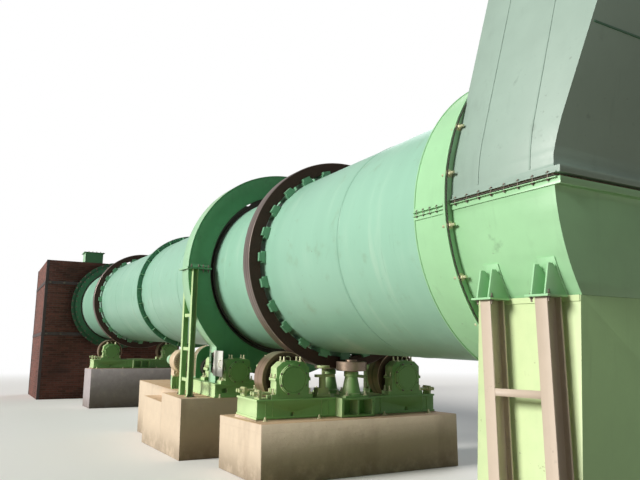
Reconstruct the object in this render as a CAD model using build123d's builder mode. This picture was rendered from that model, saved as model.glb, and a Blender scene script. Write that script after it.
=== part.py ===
from build123d import *

from math import acos, atan, cos, degrees, pi, radians, sin, tan
import os

# Rotary drum dryer with a firing head, a girth gear drive and a split discharge hood.
# Millimetres. World +X runs toward the discharge end, +Z is up, the floor is Z = 0.
# The machine line is the drum's axis: s along it, Y across it, n square up from it.

os.makedirs("parts", exist_ok=True)

# Machine line
axis_height = 2680
slope = 0.035
tilt = atan(slope)
line = Plane(origin=(0, 0, axis_height), x_dir=(cos(tilt), 0, -sin(tilt)), z_dir=(sin(tilt), 0, cos(tilt)))

# Fits
running_fit = 0.05
rolling_gap = 0.3

# Drum
drum_radius = 1200
drum_wall = 22
drum_in = -15950
drum_out = 4050
station_gap = 12000
stations = (0, -station_gap)
tyre_radius = 1415
tyre_bore = 1255
tyre_width = 190
pad_count = 24
pad_width = 150
pad_length = tyre_width + 110
lug_depth = 36
shell_joint = -6768
joint_radius = 1294
flight_count = 12

# Support rollers
roller_angle = 29.5
roller_radius = 331.7
roller_width = 250
roller_reach = tyre_radius + rolling_gap + roller_radius
roller_y = roller_reach * sin(radians(roller_angle))
roller_n = -roller_reach * cos(radians(roller_angle))
journal_radius = 60
housing_width = 450
housing_depth = 170
housing_back = 150
housing_top = roller_n + 212
cover_radius = 188
cover_depth = 30

# Station bases and piers
base_half_width = 330
base_half_length = 1341
base_top = -1755
base_height = 233
base_plate = 24
bay_reach = 480
bay_half = 245
base_bottom = base_top - base_height
well_length = 490
well_depth = 115
pier_half_length = 1430
pier_half_widths = {0: 690, -station_gap: 590}

# Thrust rollers
thrust_radius = 200
thrust_height = 120
thrust_top = -1305
thrust_s = tyre_width / 2 + rolling_gap + thrust_radius
thrust_pin = 45

# Gear drive
module_size = 20
gear_teeth = 156
pinion_teeth = 21
pressure_angle = radians(20)
backlash = 1.6
gear_width = 220
gear_s = -1910
gear_bore = 1455
pitch_gear = module_size * gear_teeth / 2
pitch_pinion = module_size * pinion_teeth / 2
centre_distance = pitch_gear + pitch_pinion
pinion_angle = 30.4
pinion_y = -centre_distance * sin(radians(pinion_angle))
pinion_n = -centre_distance * cos(radians(pinion_angle))
pinion_width = 236
pinion_journal = 65
pinion_cover = 158

# Gear guard
guard_front = -1755
guard_back = -2065
guard_radius = 1637
guard_bore = 1292
guard_plate = 6
casing_left = pinion_y - 245
casing_right = pinion_y + 285
casing_bottom = pinion_n - 262
casing_top = -900
split_flange = 12
split_reach = 34
leg_size = 80
leg_y = 1540
rung_drops = (730, 1230, 1680)
hatch_back = -1965
hatch_front = -1822
hatch_height = 296
hatch_n = -1410
door_width = 400
door_height = 372

# Drive
drive_base_top = -1700
drive_base_bottom = -1895
drive_base_front = -1450
drive_base_back = -3600
drive_base_left = -1250
drive_base_right = -420
front_bearing = -1540
rear_bearing = -2310
bearing_depth = 180
coupling_radius = 150
coupling_front = -2560
coupling_back = -2985
shroud_half = 232
shroud_rise = 122
shroud_front = -2760
shroud_back = -2970
reducer_front = -2995
reducer_back = -3450
reducer_left = -1000
reducer_right = -480
motor_front = -3100
motor_back = -3560
motor_y = -1224
motor_n = -1443
motor_radius = 136
cowl_radius = 196
cowl_length = 230
stool_drop = 250
stool_y = motor_y - 12
stool_width = 346
belt_front = -3760
belt_back = -3900
belt_input_y = -640

# Discharge end
seal_front = 3470
seal_back = 3965
seal_radius = 1369
seal_wall = 8
ring_radius = 1491
ring_plate = 20
hood_front = seal_back + ring_plate
hood_back = 4900
hood_radius = 1425
hood_wall = 8
hood_opening = 1262
hood_lean = radians(15.5)
end_lean = 0.18
hood_top = 2300
joint_level = -24
joint_half_gap = 12
angle_thick = 6
angle_leg = 44
flange_reach = 22
flange_end = 30
band_end = 50
packing_reach = 4
clamp_reach = 18
chute_seat = -722
chute_front = 4041
chute_slope = 0.078
chute_half = 1240
column_positions = (4277, 4745)
column_width = 94
column_depth = 126
column_y = chute_half + 38 + column_depth / 2
bracket_seat = -720
tie_drop = 1500
duct_height = 420

# Firing end
head_face = -16150
head_depth = 3600
head_half_width = 2400
head_height = 4770
head_wall = 350
burner_height = 1500
feed_bore = 600
feed_back = 660
feed_y = -800
inlet_front = -15800
inlet_radius = 1345


def at(s, y=0, n=0):
    """Plane square to the drum's axis: x across the machine, y up."""
    return Plane(origin=line.from_local_coords((s, y, n)), x_dir=(0, 1, 0), z_dir=line.x_dir)


def plan(n):
    """Plane parallel to the drum's axis at height n: x along the axis, y across."""
    return Plane(origin=line.from_local_coords((0, 0, n)), x_dir=line.x_dir, z_dir=line.z_dir)


def side(y):
    """Plane along the drum's axis at offset y: x along the axis, y up, normal toward -Y."""
    return Plane(origin=line.from_local_coords((0, y, 0)), x_dir=line.x_dir, z_dir=(0, -1, 0))


def upright(y):
    """Plumb plane along the machine at offset y, normal toward -Y."""
    return Plane(origin=(0, y, 0), x_dir=(1, 0, 0), z_dir=(0, -1, 0))


def world_x(s, n):
    return s * cos(tilt) + n * sin(tilt)


def world_z(s, n):
    return axis_height - s * sin(tilt) + n * cos(tilt)


def pier_profile(back, front, top):
    """Corners of a plumb block from the floor up to the sloped level top."""
    x0 = world_x(back, top)
    x1 = world_x(front, top)
    return (x0, 0), (x1, 0), (x1, world_z(front, top)), (x0, world_z(back, top))


def tooth_outline(teeth, radii, first_angle):
    """Closed gear outline; a tooth is centred on first_angle (degrees)."""
    pitch = module_size * teeth / 2
    base = pitch * cos(pressure_angle)
    half = pi / (2 * teeth) - backlash / (4 * pitch) + tan(pressure_angle) - pressure_angle
    points = []
    for tooth in range(teeth):
        centre = radians(first_angle) + tooth * 2 * pi / teeth
        flank = []
        for radius in radii:
            roll = acos(min(1.0, base / radius))
            flank.append((radius, half - (tan(roll) - roll)))
        for radius, angle in flank:
            points.append((radius * cos(centre - angle), radius * sin(centre - angle)))
        for radius, angle in reversed(flank):
            points.append((radius * cos(centre + angle), radius * sin(centre + angle)))
    return points


def save(part, label):
    part.label = label
    export_step(part, f"parts/{label}.step")


# Drum shell
with BuildPart() as drum_shell:
    with BuildSketch(at(drum_in)):
        Circle(drum_radius)
        Circle(drum_radius - drum_wall, mode=Mode.SUBTRACT)
    extrude(amount=drum_out - drum_in)
save(drum_shell.part, "drum_shell")

# Lifting flights inside the shell, clear of both ends
flight_start = drum_in + 1800
flight_end = drum_out - 1200
flight_depth = 210
with BuildPart() as lifting_flights:
    with BuildSketch(at(flight_start)):
        with PolarLocations(drum_radius - drum_wall - flight_depth / 2, flight_count):
            Rectangle(flight_depth + 6, 10)
        with PolarLocations(drum_radius - drum_wall - flight_depth, flight_count):
            with Locations((0, 45)):
                Rectangle(10, 90)
        Circle(drum_radius - drum_wall, mode=Mode.INTERSECT)
    extrude(amount=flight_end - flight_start)
save(lifting_flights.part, "lifting_flights")

# Tyres
with BuildPart() as tyres:
    for station in stations:
        with BuildSketch(at(station - tyre_width / 2)):
            Circle(tyre_radius)
            Circle(tyre_bore, mode=Mode.SUBTRACT)
        extrude(amount=tyre_width)
    chamfer(tyres.edges().filter_by(GeomType.CIRCLE).filter_by(lambda e: e.radius > tyre_radius - 1), length=6)
save(tyres.part, "tyres")

# Pads between shell and tyres, with a stop lug at each side of the tyre
with BuildPart() as tyre_pads:
    for station in stations:
        with BuildSketch(at(station - pad_length / 2)):
            with PolarLocations((drum_radius + tyre_bore) / 2, pad_count):
                Rectangle(tyre_bore - drum_radius + 40, pad_width)
            Circle(tyre_bore, mode=Mode.INTERSECT)
            Circle(drum_radius, mode=Mode.SUBTRACT)
        extrude(amount=pad_length)
        for start in (station - pad_length / 2, station + tyre_width / 2 + 1):
            with BuildSketch(at(start)):
                with PolarLocations(tyre_bore + lug_depth / 2 - 6, pad_count):
                    Rectangle(lug_depth + 12, pad_width - 40)
                Circle(tyre_bore - 8, mode=Mode.SUBTRACT)
            extrude(amount=(pad_length - tyre_width) / 2 - 1)
save(tyre_pads.part, "tyre_pads")

# Bolted joint between two shell lengths, stiffened by gussets
with BuildPart() as shell_flange:
    with BuildSketch(at(shell_joint - 46)):
        Circle(joint_radius)
        Circle(drum_radius, mode=Mode.SUBTRACT)
    extrude(amount=46)
    with BuildSketch(at(shell_joint)):
        with PolarLocations((drum_radius + joint_radius) / 2 - 4, pad_count):
            Rectangle(joint_radius - drum_radius + 16, 14)
        Circle(joint_radius - 8, mode=Mode.INTERSECT)
        Circle(drum_radius, mode=Mode.SUBTRACT)
    extrude(amount=70)
save(shell_flange.part, "shell_flange")

# Girth gear on its web and hub ring
gear_radii = (pitch_gear - 1.25 * module_size, pitch_gear, pitch_gear + module_size)
with BuildPart() as girth_gear:
    with BuildSketch(at(gear_s - gear_width / 2)):
        with BuildLine():
            Polyline(*tooth_outline(gear_teeth, gear_radii, 270 - pinion_angle), close=True)
        make_face()
        Circle(gear_bore, mode=Mode.SUBTRACT)
    extrude(amount=gear_width)
    with BuildSketch(at(gear_s - 16)):
        Circle(gear_bore + 10)
        Circle(drum_radius, mode=Mode.SUBTRACT)
        with PolarLocations((gear_bore + drum_radius) / 2 + 8, 12):
            Circle(70, mode=Mode.SUBTRACT)
    extrude(amount=32)
    with BuildSketch(at(gear_s - 90)):
        Circle(drum_radius + 26)
        Circle(drum_radius, mode=Mode.SUBTRACT)
    extrude(amount=180)
save(girth_gear.part, "girth_gear")

# Turning seal rings, one inside each fixed housing
with BuildPart() as seal_rings:
    for start in (seal_front + 190, inlet_front - 190):
        with BuildSketch(at(start)):
            Circle(seal_radius - 49)
            Circle(drum_radius, mode=Mode.SUBTRACT)
        extrude(amount=16)
        with BuildSketch(at(start + 16)):
            Circle(drum_radius + 30)
            Circle(drum_radius, mode=Mode.SUBTRACT)
        extrude(amount=60)
save(seal_rings.part, "seal_rings")

# Support rollers, one body each
roller_seats = []
for station, place in ((0, "discharge"), (-station_gap, "inlet")):
    for sign, hand in ((-1, "near"), (1, "far")):
        roller_seats.append((station, sign * roller_y, f"roller_{place}_{hand}"))

shaft_half = housing_back + housing_depth - 25
collar_half = housing_back - 18
for station, across, label in roller_seats:
    with BuildPart() as roller:
        with BuildSketch(at(station - roller_width / 2)):
            with Locations((across, roller_n)):
                Circle(roller_radius)
        extrude(amount=roller_width)
        for start in (station - roller_width / 2, station + roller_width / 2 - 62):
            with BuildSketch(at(start)):
                with Locations((across, roller_n)):
                    Circle(roller_radius - 48)
                    Circle(135, mode=Mode.SUBTRACT)
            extrude(amount=62, mode=Mode.SUBTRACT)
        with BuildSketch(at(station - collar_half)):
            with Locations((across, roller_n)):
                Circle(journal_radius + 25)
        extrude(amount=2 * collar_half)
        with BuildSketch(at(station - shaft_half)):
            with Locations((across, roller_n)):
                Circle(journal_radius)
        extrude(amount=2 * shaft_half)
    save(roller.part, label)

# Roller bearing housings: pedestal, cap and round cover
with BuildPart() as roller_bearings:
    for station, across, label in roller_seats:
        for facing in (1, -1):
            inner = station + facing * housing_back
            outer = inner + facing * housing_depth
            start = min(inner, outer)
            with BuildSketch(at(start)):
                with BuildLine():
                    Polyline(
                        (across - housing_width / 2, base_top),
                        (across + housing_width / 2, base_top),
                        (across + housing_width / 2, housing_top - 70),
                        (across + housing_width / 2 - 80, housing_top),
                        (across - housing_width / 2 + 80, housing_top),
                        (across - housing_width / 2, housing_top - 70),
                        close=True,
                    )
                make_face()
            extrude(amount=housing_depth)
            with BuildSketch(at(start)):
                with Locations((across, base_top + 27)):
                    Rectangle(housing_width + 110, 54)
            extrude(amount=housing_depth)
            with BuildSketch(at(start - 10)):
                with Locations((across, roller_n)):
                    Rectangle(housing_width + 36, 34)
            extrude(amount=housing_depth + 20)
            with BuildSketch(at(min(outer, outer + facing * cover_depth))):
                with Locations((across, roller_n)):
                    Circle(cover_radius)
            extrude(amount=cover_depth)
            with BuildSketch(at(min(outer + facing * cover_depth, outer + facing * (cover_depth + 14)))):
                with Locations((across, roller_n)):
                    Circle(cover_radius - 62)
            extrude(amount=14)
            with BuildSketch(at(station - shaft_half - 6)):
                with Locations((across, roller_n)):
                    Circle(journal_radius + running_fit)
            extrude(amount=2 * shaft_half + 12, mode=Mode.SUBTRACT)
save(roller_bearings.part, "roller_bearings")

# Jack screws that set each housing, on brackets at the ends of the bases
foot_edge = roller_y + (housing_width + 110) / 2
bracket_y = base_half_length - 55
with BuildPart() as roller_adjusters:
    for station in stations:
        for facing in (1, -1):
            centre = station + facing * (housing_back + housing_depth / 2)
            for hand in (1, -1):
                with BuildSketch(side(hand * bracket_y)):
                    with Locations((centre, base_top + 55)):
                        Rectangle(140, 110)
                extrude(amount=15, both=True)
                with BuildSketch(side(hand * foot_edge)):
                    for shift in (-38, 38):
                        with Locations((centre + shift, base_top + 68)):
                            Circle(15)
                extrude(amount=-hand * (base_half_length + 10 - foot_edge))
                with BuildSketch(side(hand * (base_half_length - 4))):
                    for shift in (-38, 38):
                        with Locations((centre + shift, base_top + 68)):
                            RegularPolygon(27, 6)
                extrude(amount=-hand * 30)
save(roller_adjusters.part, "roller_adjusters")

# Station bases: fabricated frames; a bay in the middle stands out and holds two open pockets
pocket_width = 2 * (bay_half - base_plate) - base_plate
with BuildPart() as station_bases:
    for station in stations:
        with BuildSketch(plan(base_bottom)):
            with Locations((station, 0)):
                Rectangle(2 * base_half_width - 20, 2 * base_half_length - 20)
        extrude(amount=base_height)
        for level in (base_bottom, base_top - base_plate):
            with BuildSketch(plan(level)):
                with Locations((station, 0)):
                    Rectangle(2 * base_half_width, 2 * base_half_length)
            extrude(amount=base_plate)
        with BuildSketch(plan(base_bottom)):
            with Locations((station, 0)):
                Rectangle(2 * bay_reach, 2 * bay_half)
        extrude(amount=base_height)
        with BuildSketch(plan(base_top)):
            for across in (-roller_y, roller_y):
                with Locations((station, across)):
                    Rectangle(roller_width + 40, well_length)
        extrude(amount=-well_depth, mode=Mode.SUBTRACT)
        for facing in (1, -1):
            with BuildSketch(at(station + facing * bay_reach)):
                with Locations((0, base_bottom + base_height / 2)):
                    with GridLocations((pocket_width + base_plate) / 2, 0, 2, 1):
                        Rectangle((pocket_width - base_plate) / 2, base_height - 2 * base_plate)
            extrude(amount=-facing * (bay_reach - 290), mode=Mode.SUBTRACT)
            with BuildSketch(at(station + facing * base_half_width)):
                for across in (-roller_y, roller_y):
                    with Locations((across, base_bottom + 52)):
                        Circle(26)
            extrude(amount=-facing * 60, mode=Mode.SUBTRACT)
save(station_bases.part, "station_bases")

# Thrust roller pedestals either side of the discharge tyre
pedestal_top = thrust_top - thrust_height - 12
with BuildPart() as thrust_pedestals:
    for facing in (1, -1):
        with BuildSketch(plan(base_top)):
            with Locations((facing * thrust_s, 0)):
                Rectangle(300, 340)
        extrude(amount=24)
        with BuildSketch(plan(base_top + 24)):
            with Locations((facing * thrust_s, 0)):
                Circle(128)
        with BuildSketch(plan(pedestal_top - 60)):
            with Locations((facing * thrust_s, 0)):
                Circle(82)
        loft()
        with BuildSketch(plan(pedestal_top - 60)):
            with Locations((facing * thrust_s, 0)):
                Circle(96)
        extrude(amount=60)
        with BuildSketch(plan(base_top + 40)):
            with Locations((facing * thrust_s, 0)):
                Circle(thrust_pin + running_fit)
        extrude(amount=pedestal_top - base_top - 40, mode=Mode.SUBTRACT)
save(thrust_pedestals.part, "thrust_pedestals")

# Thrust rollers with their pins
for facing, label in ((1, "thrust_roller_discharge"), (-1, "thrust_roller_gear")):
    with BuildPart() as thrust_roller:
        with BuildSketch(plan(thrust_top - thrust_height)):
            with Locations((facing * thrust_s, 0)):
                Circle(thrust_radius)
        extrude(amount=thrust_height)
        chamfer(thrust_roller.edges(), length=5)
        with BuildSketch(plan(thrust_top)):
            with Locations((facing * thrust_s, 0)):
                Circle(74)
        extrude(amount=22)
        with BuildSketch(plan(thrust_top - thrust_height)):
            with Locations((facing * thrust_s, 0)):
                Circle(thrust_pin)
        extrude(amount=-200)
        with BuildSketch(plan(thrust_top - thrust_height)):
            with Locations((facing * thrust_s, 0)):
                Circle(80)
        extrude(amount=-12 + 0.5)
    save(thrust_roller.part, label)

# Float indicator beside the tyre: plinth, post, link and follower disc
follower_s = 200
follower_y = -395
plinth_height = 45
follower_base = base_top + plinth_height + 70
disc_bottom = base_top + 366
with BuildPart() as float_indicator:
    with BuildSketch(plan(base_top)):
        with Locations((follower_s, follower_y)):
            Rectangle(160, 190)
    extrude(amount=plinth_height)
    with BuildSketch(plan(base_top + plinth_height)):
        with Locations((follower_s, follower_y)):
            Rectangle(120, 150)
    extrude(amount=follower_base - base_top - plinth_height)
    with BuildSketch(plan(follower_base)):
        with Locations((follower_s + 30, follower_y)):
            Circle(44)
    extrude(amount=135)
    with BuildSketch(plan(follower_base + 135)):
        with Locations((follower_s + 40, follower_y + 30)):
            Rectangle(60, 270)
    extrude(amount=34)
    with BuildSketch(plan(follower_base + 169)):
        with Locations((follower_s + 50, follower_y)):
            Circle(20)
    extrude(amount=disc_bottom - follower_base - 169)
    with BuildSketch(plan(disc_bottom)):
        with Locations((follower_s + 50, follower_y)):
            Circle(82)
    extrude(amount=30)
save(float_indicator.part, "float_indicator")

# Pinion with its shaft and low-speed coupling
pinion_radii = (pitch_pinion - 25, pitch_pinion - 11, pitch_pinion, pitch_pinion + 10, pitch_pinion + module_size)
pinion_first = 90 - pinion_angle + 180 / pinion_teeth
shaft_end = front_bearing + bearing_depth / 2 - 20
sleeve_start = rear_bearing + bearing_depth / 2 + 16
sleeve_end = front_bearing - bearing_depth / 2 - 16
with BuildPart() as pinion:
    with BuildSketch(at(gear_s - pinion_width / 2, pinion_y, pinion_n)):
        with BuildLine():
            Polyline(*tooth_outline(pinion_teeth, pinion_radii, pinion_first), close=True)
        make_face()
    extrude(amount=pinion_width)
    for start, end, radius in (
        (coupling_back, shaft_end, pinion_journal),
        (sleeve_start, sleeve_end, pinion_journal + 22),
        (coupling_back, coupling_back + 150, coupling_radius),
        (coupling_back + 150, coupling_front - 230, coupling_radius - 30),
        (coupling_front - 230, coupling_front - 110, coupling_radius),
    ):
        with BuildSketch(at(start, pinion_y, pinion_n)):
            Circle(radius)
        extrude(amount=end - start)
save(pinion.part, "pinion")

# Pinion bearing housings
with BuildPart() as pinion_bearings:
    for centre in (front_bearing, rear_bearing):
        with BuildSketch(at(centre - bearing_depth / 2)):
            with Locations((pinion_y, (drive_base_top + pinion_n + 60) / 2)):
                Rectangle(380, pinion_n + 60 - drive_base_top)
            with Locations((pinion_y, pinion_n + 80)):
                RectangleRounded(380, 210, 60)
        extrude(amount=bearing_depth)
        with BuildSketch(at(centre - bearing_depth / 2)):
            with Locations((pinion_y, drive_base_top + 24)):
                Rectangle(520, 48)
        extrude(amount=bearing_depth)
        with BuildSketch(at(centre - bearing_depth / 2 - 8)):
            with Locations((pinion_y, pinion_n)):
                Rectangle(440, 36)
        extrude(amount=bearing_depth + 16)
    with BuildSketch(at(front_bearing + bearing_depth / 2)):
        with Locations((pinion_y, pinion_n)):
            Circle(pinion_cover)
    extrude(amount=36)
    with BuildSketch(at(coupling_back)):
        with Locations((pinion_y, pinion_n)):
            Circle(pinion_journal + running_fit)
    extrude(amount=front_bearing + bearing_depth / 2 - 12 - coupling_back, mode=Mode.SUBTRACT)
save(pinion_bearings.part, "pinion_bearings")

# Drive base: frame with a well for the pinion casing and a corner cut back for the motor's stool
base_mid = ((drive_base_front + drive_base_back) / 2, (drive_base_left + drive_base_right) / 2)
base_length = drive_base_front - drive_base_back
base_width = drive_base_right - drive_base_left
stool_front = motor_front - 40
stool_clear = 14
drive_plate = 20
with BuildPart() as drive_base:
    with BuildSketch(plan(drive_base_bottom)):
        with Locations(base_mid):
            Rectangle(base_length - 16, base_width - 16)
    extrude(amount=drive_base_top - drive_base_bottom)
    for level in (drive_base_bottom, drive_base_top - drive_plate):
        with BuildSketch(plan(level)):
            with Locations(base_mid):
                Rectangle(base_length, base_width)
        extrude(amount=drive_plate)
    with BuildSketch(plan(drive_base_bottom)):
        with Locations(((guard_front + guard_back) / 2, (casing_left + casing_right) / 2)):
            Rectangle(guard_front - guard_back + 40, casing_right - casing_left + 40)
        with Locations(((stool_front + stool_clear + drive_base_back) / 2, (drive_base_left + reducer_left - 50) / 2)):
            Rectangle(stool_front + stool_clear - drive_base_back, reducer_left - 50 - drive_base_left)
    extrude(amount=drive_base_top - drive_base_bottom, mode=Mode.SUBTRACT)
    with BuildSketch(at(drive_base_front)):
        for across in (drive_base_left + 157, drive_base_right - 157):
            with Locations((across, drive_base_bottom + 100)):
                Rectangle(78, 60)
    extrude(amount=-90, mode=Mode.SUBTRACT)
save(drive_base.part, "drive_base")

# Speed reducer: split case with ribs, breather on top
reducer_mid = ((reducer_front + reducer_back) / 2, (reducer_left + reducer_right) / 2)
reducer_length = reducer_front - reducer_back
case_top = pinion_n + 240
foot_height = 40
with BuildPart() as reducer:
    with BuildSketch(at(reducer_back)):
        with BuildLine():
            Polyline(
                (reducer_left, drive_base_top + foot_height),
                (reducer_right, drive_base_top + foot_height),
                (reducer_right, case_top - 90),
                (reducer_right - 90, case_top),
                (reducer_left + 110, case_top),
                (reducer_left, case_top - 110),
                close=True,
            )
        make_face()
    extrude(amount=reducer_length)
    with BuildSketch(plan(drive_base_top)):
        with Locations(reducer_mid):
            Rectangle(reducer_length, reducer_right - reducer_left + 80)
    extrude(amount=foot_height)
    with BuildSketch(plan(pinion_n - 18)):
        with Locations(reducer_mid):
            Rectangle(reducer_length, reducer_right - reducer_left + 70)
    extrude(amount=36)
    for hand, face in ((1, reducer_right), (-1, reducer_left)):
        for shift in (-150, 0, 150):
            with BuildSketch(side(face - hand * 20)):
                with Locations((reducer_mid[0] + shift, pinion_n - 90)):
                    Rectangle(20, 160)
            extrude(amount=-hand * 45)
    with BuildSketch(plan(case_top)):
        with Locations(reducer_mid):
            Circle(60)
    extrude(amount=30)
save(reducer.part, "reducer")

# Belt guard behind the reducer and the motor: round ends over both pulleys, on the drive base's end
belt_rear_post = 60
pulley_end = 90
with BuildPart() as belt_guard:
    with BuildSketch(at(belt_back)):
        with BuildLine():
            Line((motor_y, motor_n + pulley_end), (belt_input_y, pinion_n + 230))
            CenterArc((belt_input_y, pinion_n), 230, 90, -180)
            Line((belt_input_y, pinion_n - 230), (motor_y, motor_n - pulley_end))
            CenterArc((motor_y, motor_n), pulley_end, -90, -180)
        make_face()
    extrude(amount=belt_front - belt_back)
    for start, end in ((belt_front, reducer_back), (belt_front, motor_back)):
        middle = belt_input_y if end == reducer_back else motor_y
        centre_n = pinion_n if end == reducer_back else motor_n
        with BuildSketch(at(start)):
            with Locations((middle, centre_n)):
                Circle(70)
        extrude(amount=end - start)
    with BuildSketch(plan(drive_base_bottom)):
        for across in (belt_input_y, motor_y + 60):
            with Locations(((belt_front + belt_back) / 2, across)):
                Rectangle(belt_rear_post, 140)
    extrude(amount=motor_n - 100 - drive_base_bottom)
save(belt_guard.part, "belt_guard")

# Motor beside the reducer, its fan cowl toward the gear and its shaft to the belt guard
stool_top = motor_n - stool_drop
with BuildPart() as motor:
    with BuildSketch(at(motor_back, motor_y, motor_n)):
        Circle(motor_radius - 30)
    extrude(amount=motor_front - motor_back - cowl_length)
    with BuildSketch(at(motor_back, motor_y, motor_n)):
        Circle(motor_radius)
    extrude(amount=24)
    with BuildSketch(at(motor_back + 30, motor_y, motor_n)):
        with PolarLocations(motor_radius - 26, 30):
            Rectangle(40, 6)
    extrude(amount=motor_front - motor_back - cowl_length - 30)
    with BuildSketch(at(motor_front - cowl_length, motor_y, motor_n)):
        Circle(cowl_radius)
    extrude(amount=cowl_length)
    fillet(motor.edges().filter_by(GeomType.CIRCLE).sort_by(Axis.X)[-1:], radius=30)
    with BuildSketch(plan(motor_n + motor_radius - 40)):
        with Locations(((motor_front - cowl_length + motor_back) / 2, motor_y)):
            Rectangle(130, 120)
    extrude(amount=70)
    with BuildSketch(plan(stool_top)):
        with Locations(((motor_front - cowl_length + motor_back) / 2, motor_y)):
            Rectangle(190, 200)
    extrude(amount=stool_drop - motor_radius + 50)
    with BuildSketch(plan(stool_top)):
        with Locations((stool_front - 30, stool_y)):
            Rectangle(56, stool_width - 26)
    extrude(amount=16)
    with BuildSketch(at(stool_front - 40)):
        with BuildLine():
            Polyline(
                (stool_y - 140, stool_top),
                (motor_y - 90, motor_n - cowl_radius + 40),
                (motor_y + 90, motor_n - cowl_radius + 40),
                (stool_y + 140, stool_top),
                close=True,
            )
        make_face()
    extrude(amount=16)
save(motor.part, "motor")

# Stool under the motor: ribbed front plate and two rear legs under a stepped top plate
stool_back = motor_back + 20
stool_length = stool_front - stool_back
stool_mid = (stool_front + stool_back) / 2
with BuildPart() as motor_stool:
    for level, thickness in ((stool_top - 16, 16), (drive_base_bottom, 14)):
        with BuildSketch(plan(level)):
            with Locations((stool_front - 30, stool_y)):
                Rectangle(60, stool_width)
            with Locations((stool_mid, motor_y)):
                Rectangle(stool_length, 190)
        extrude(amount=thickness)
    with BuildSketch(plan(drive_base_bottom)):
        with Locations((stool_front - 42, stool_y)):
            Rectangle(14, stool_width - 8)
        with Locations((stool_front - 22, stool_y)):
            for across in (-167, -92, 92, 167):
                with Locations((0, across)):
                    Rectangle(36, 12)
        with Locations((stool_back + 42, motor_y)):
            with GridLocations(80, 110, 1, 2):
                Rectangle(70, 60)
        with Locations((stool_mid, motor_y)):
            Rectangle(stool_length - 80, 14)
    extrude(amount=stool_top - 8 - drive_base_bottom)
save(motor_stool.part, "motor_stool")

# Arched shroud over the low-speed coupling, with the shaft's way through both ends
shroud_plate = 6
arch_n = pinion_n + shroud_rise
with BuildPart() as coupling_shroud:
    for inset, start, length, mode in (
        (0, shroud_back, shroud_front - shroud_back, Mode.ADD),
        (shroud_plate, shroud_back + shroud_plate, shroud_front - shroud_back - 2 * shroud_plate, Mode.SUBTRACT),
    ):
        with BuildSketch(at(start, pinion_y, arch_n)):
            Circle(shroud_half - inset)
            with Locations((0, (drive_base_top - arch_n) / 2)):
                Rectangle(2 * (shroud_half - inset), arch_n - drive_base_top)
        extrude(amount=length, mode=mode)
    with BuildSketch(at(shroud_back, pinion_y, pinion_n)):
        Circle(coupling_radius + 10)
    extrude(amount=shroud_front - shroud_back, mode=Mode.SUBTRACT)
    with BuildSketch(plan(drive_base_top)):
        with Locations(((shroud_front + shroud_back) / 2, pinion_y)):
            Rectangle(shroud_front - shroud_back, 2 * shroud_half + 90)
            Rectangle(shroud_front - shroud_back - 90, 2 * (shroud_half - shroud_plate), mode=Mode.SUBTRACT)
    extrude(amount=8)
    with BuildSketch(plan(drive_base_top)):
        with Locations(((shroud_front + shroud_back) / 2, pinion_y)):
            Rectangle(2 * shroud_half, 4 * shroud_half)
    extrude(amount=drive_base_bottom - drive_base_top, mode=Mode.SUBTRACT)
save(coupling_shroud.part, "coupling_shroud")

# Gear guard, worked as one shell and cut at axis height
guard_depth = guard_front - guard_back
with BuildPart() as guard_shell:
    with BuildSketch(at(guard_back)):
        Circle(guard_radius)
        with Locations(((casing_left + casing_right) / 2, (casing_bottom + casing_top) / 2)):
            Rectangle(casing_right - casing_left, casing_top - casing_bottom)
    extrude(amount=guard_depth)
    with BuildSketch(at(guard_back + guard_plate)):
        Circle(guard_radius - guard_plate)
        with Locations(((casing_left + casing_right) / 2, (casing_bottom + casing_top) / 2 + guard_plate)):
            Rectangle(casing_right - casing_left - 2 * guard_plate, casing_top - casing_bottom)
    extrude(amount=guard_depth - 2 * guard_plate, mode=Mode.SUBTRACT)
    with BuildSketch(at(guard_back)):
        Circle(guard_bore)
    extrude(amount=guard_depth, mode=Mode.SUBTRACT)
    with BuildSketch(at(guard_back)):
        with Locations((pinion_y, pinion_n)):
            Circle(pinion_journal + 34)
    extrude(amount=guard_depth, mode=Mode.SUBTRACT)
    with BuildSketch(side(casing_left)):
        with Locations(((hatch_back + hatch_front) / 2, hatch_n)):
            Rectangle(hatch_front - hatch_back, hatch_height)
    extrude(amount=-guard_plate, mode=Mode.SUBTRACT)

for label, keep, rise in (("gear_guard_upper", Keep.TOP, split_flange), ("gear_guard_lower", Keep.BOTTOM, -split_flange)):
    with BuildPart() as guard_half:
        add(guard_shell.part)
        split(bisect_by=plan(0), keep=keep)
        with BuildSketch(plan(0)):
            for hand in (1, -1):
                with Locations(((guard_front + guard_back) / 2, hand * (guard_bore + guard_radius + split_reach) / 2)):
                    Rectangle(guard_depth + 2 * leg_size, guard_radius + split_reach - guard_bore)
            for hand in (1, -1):
                with Locations(((guard_front + guard_back) / 2, hand * (guard_bore + guard_radius - guard_plate) / 2)):
                    Rectangle(guard_depth - 2 * guard_plate, guard_radius - guard_plate - guard_bore, mode=Mode.SUBTRACT)
        extrude(amount=rise)
    save(guard_half.part, label)

# Inspection door of the pinion casing, standing open on its hinge bar in front of the hatch
door_back = hatch_front + 24
door_plate = 10
with BuildPart() as casing_door:
    with BuildSketch(side(casing_left - 14)):
        with Locations((door_back + door_width / 2, hatch_n)):
            RectangleRounded(door_width, door_height, 10)
    extrude(amount=door_plate)
    with BuildSketch(side(casing_left)):
        for rise in (-door_height / 3, door_height / 3):
            with Locations((door_back + 20, hatch_n + rise)):
                Rectangle(30, 60)
    extrude(amount=16)
save(casing_door.part, "casing_door")

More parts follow.
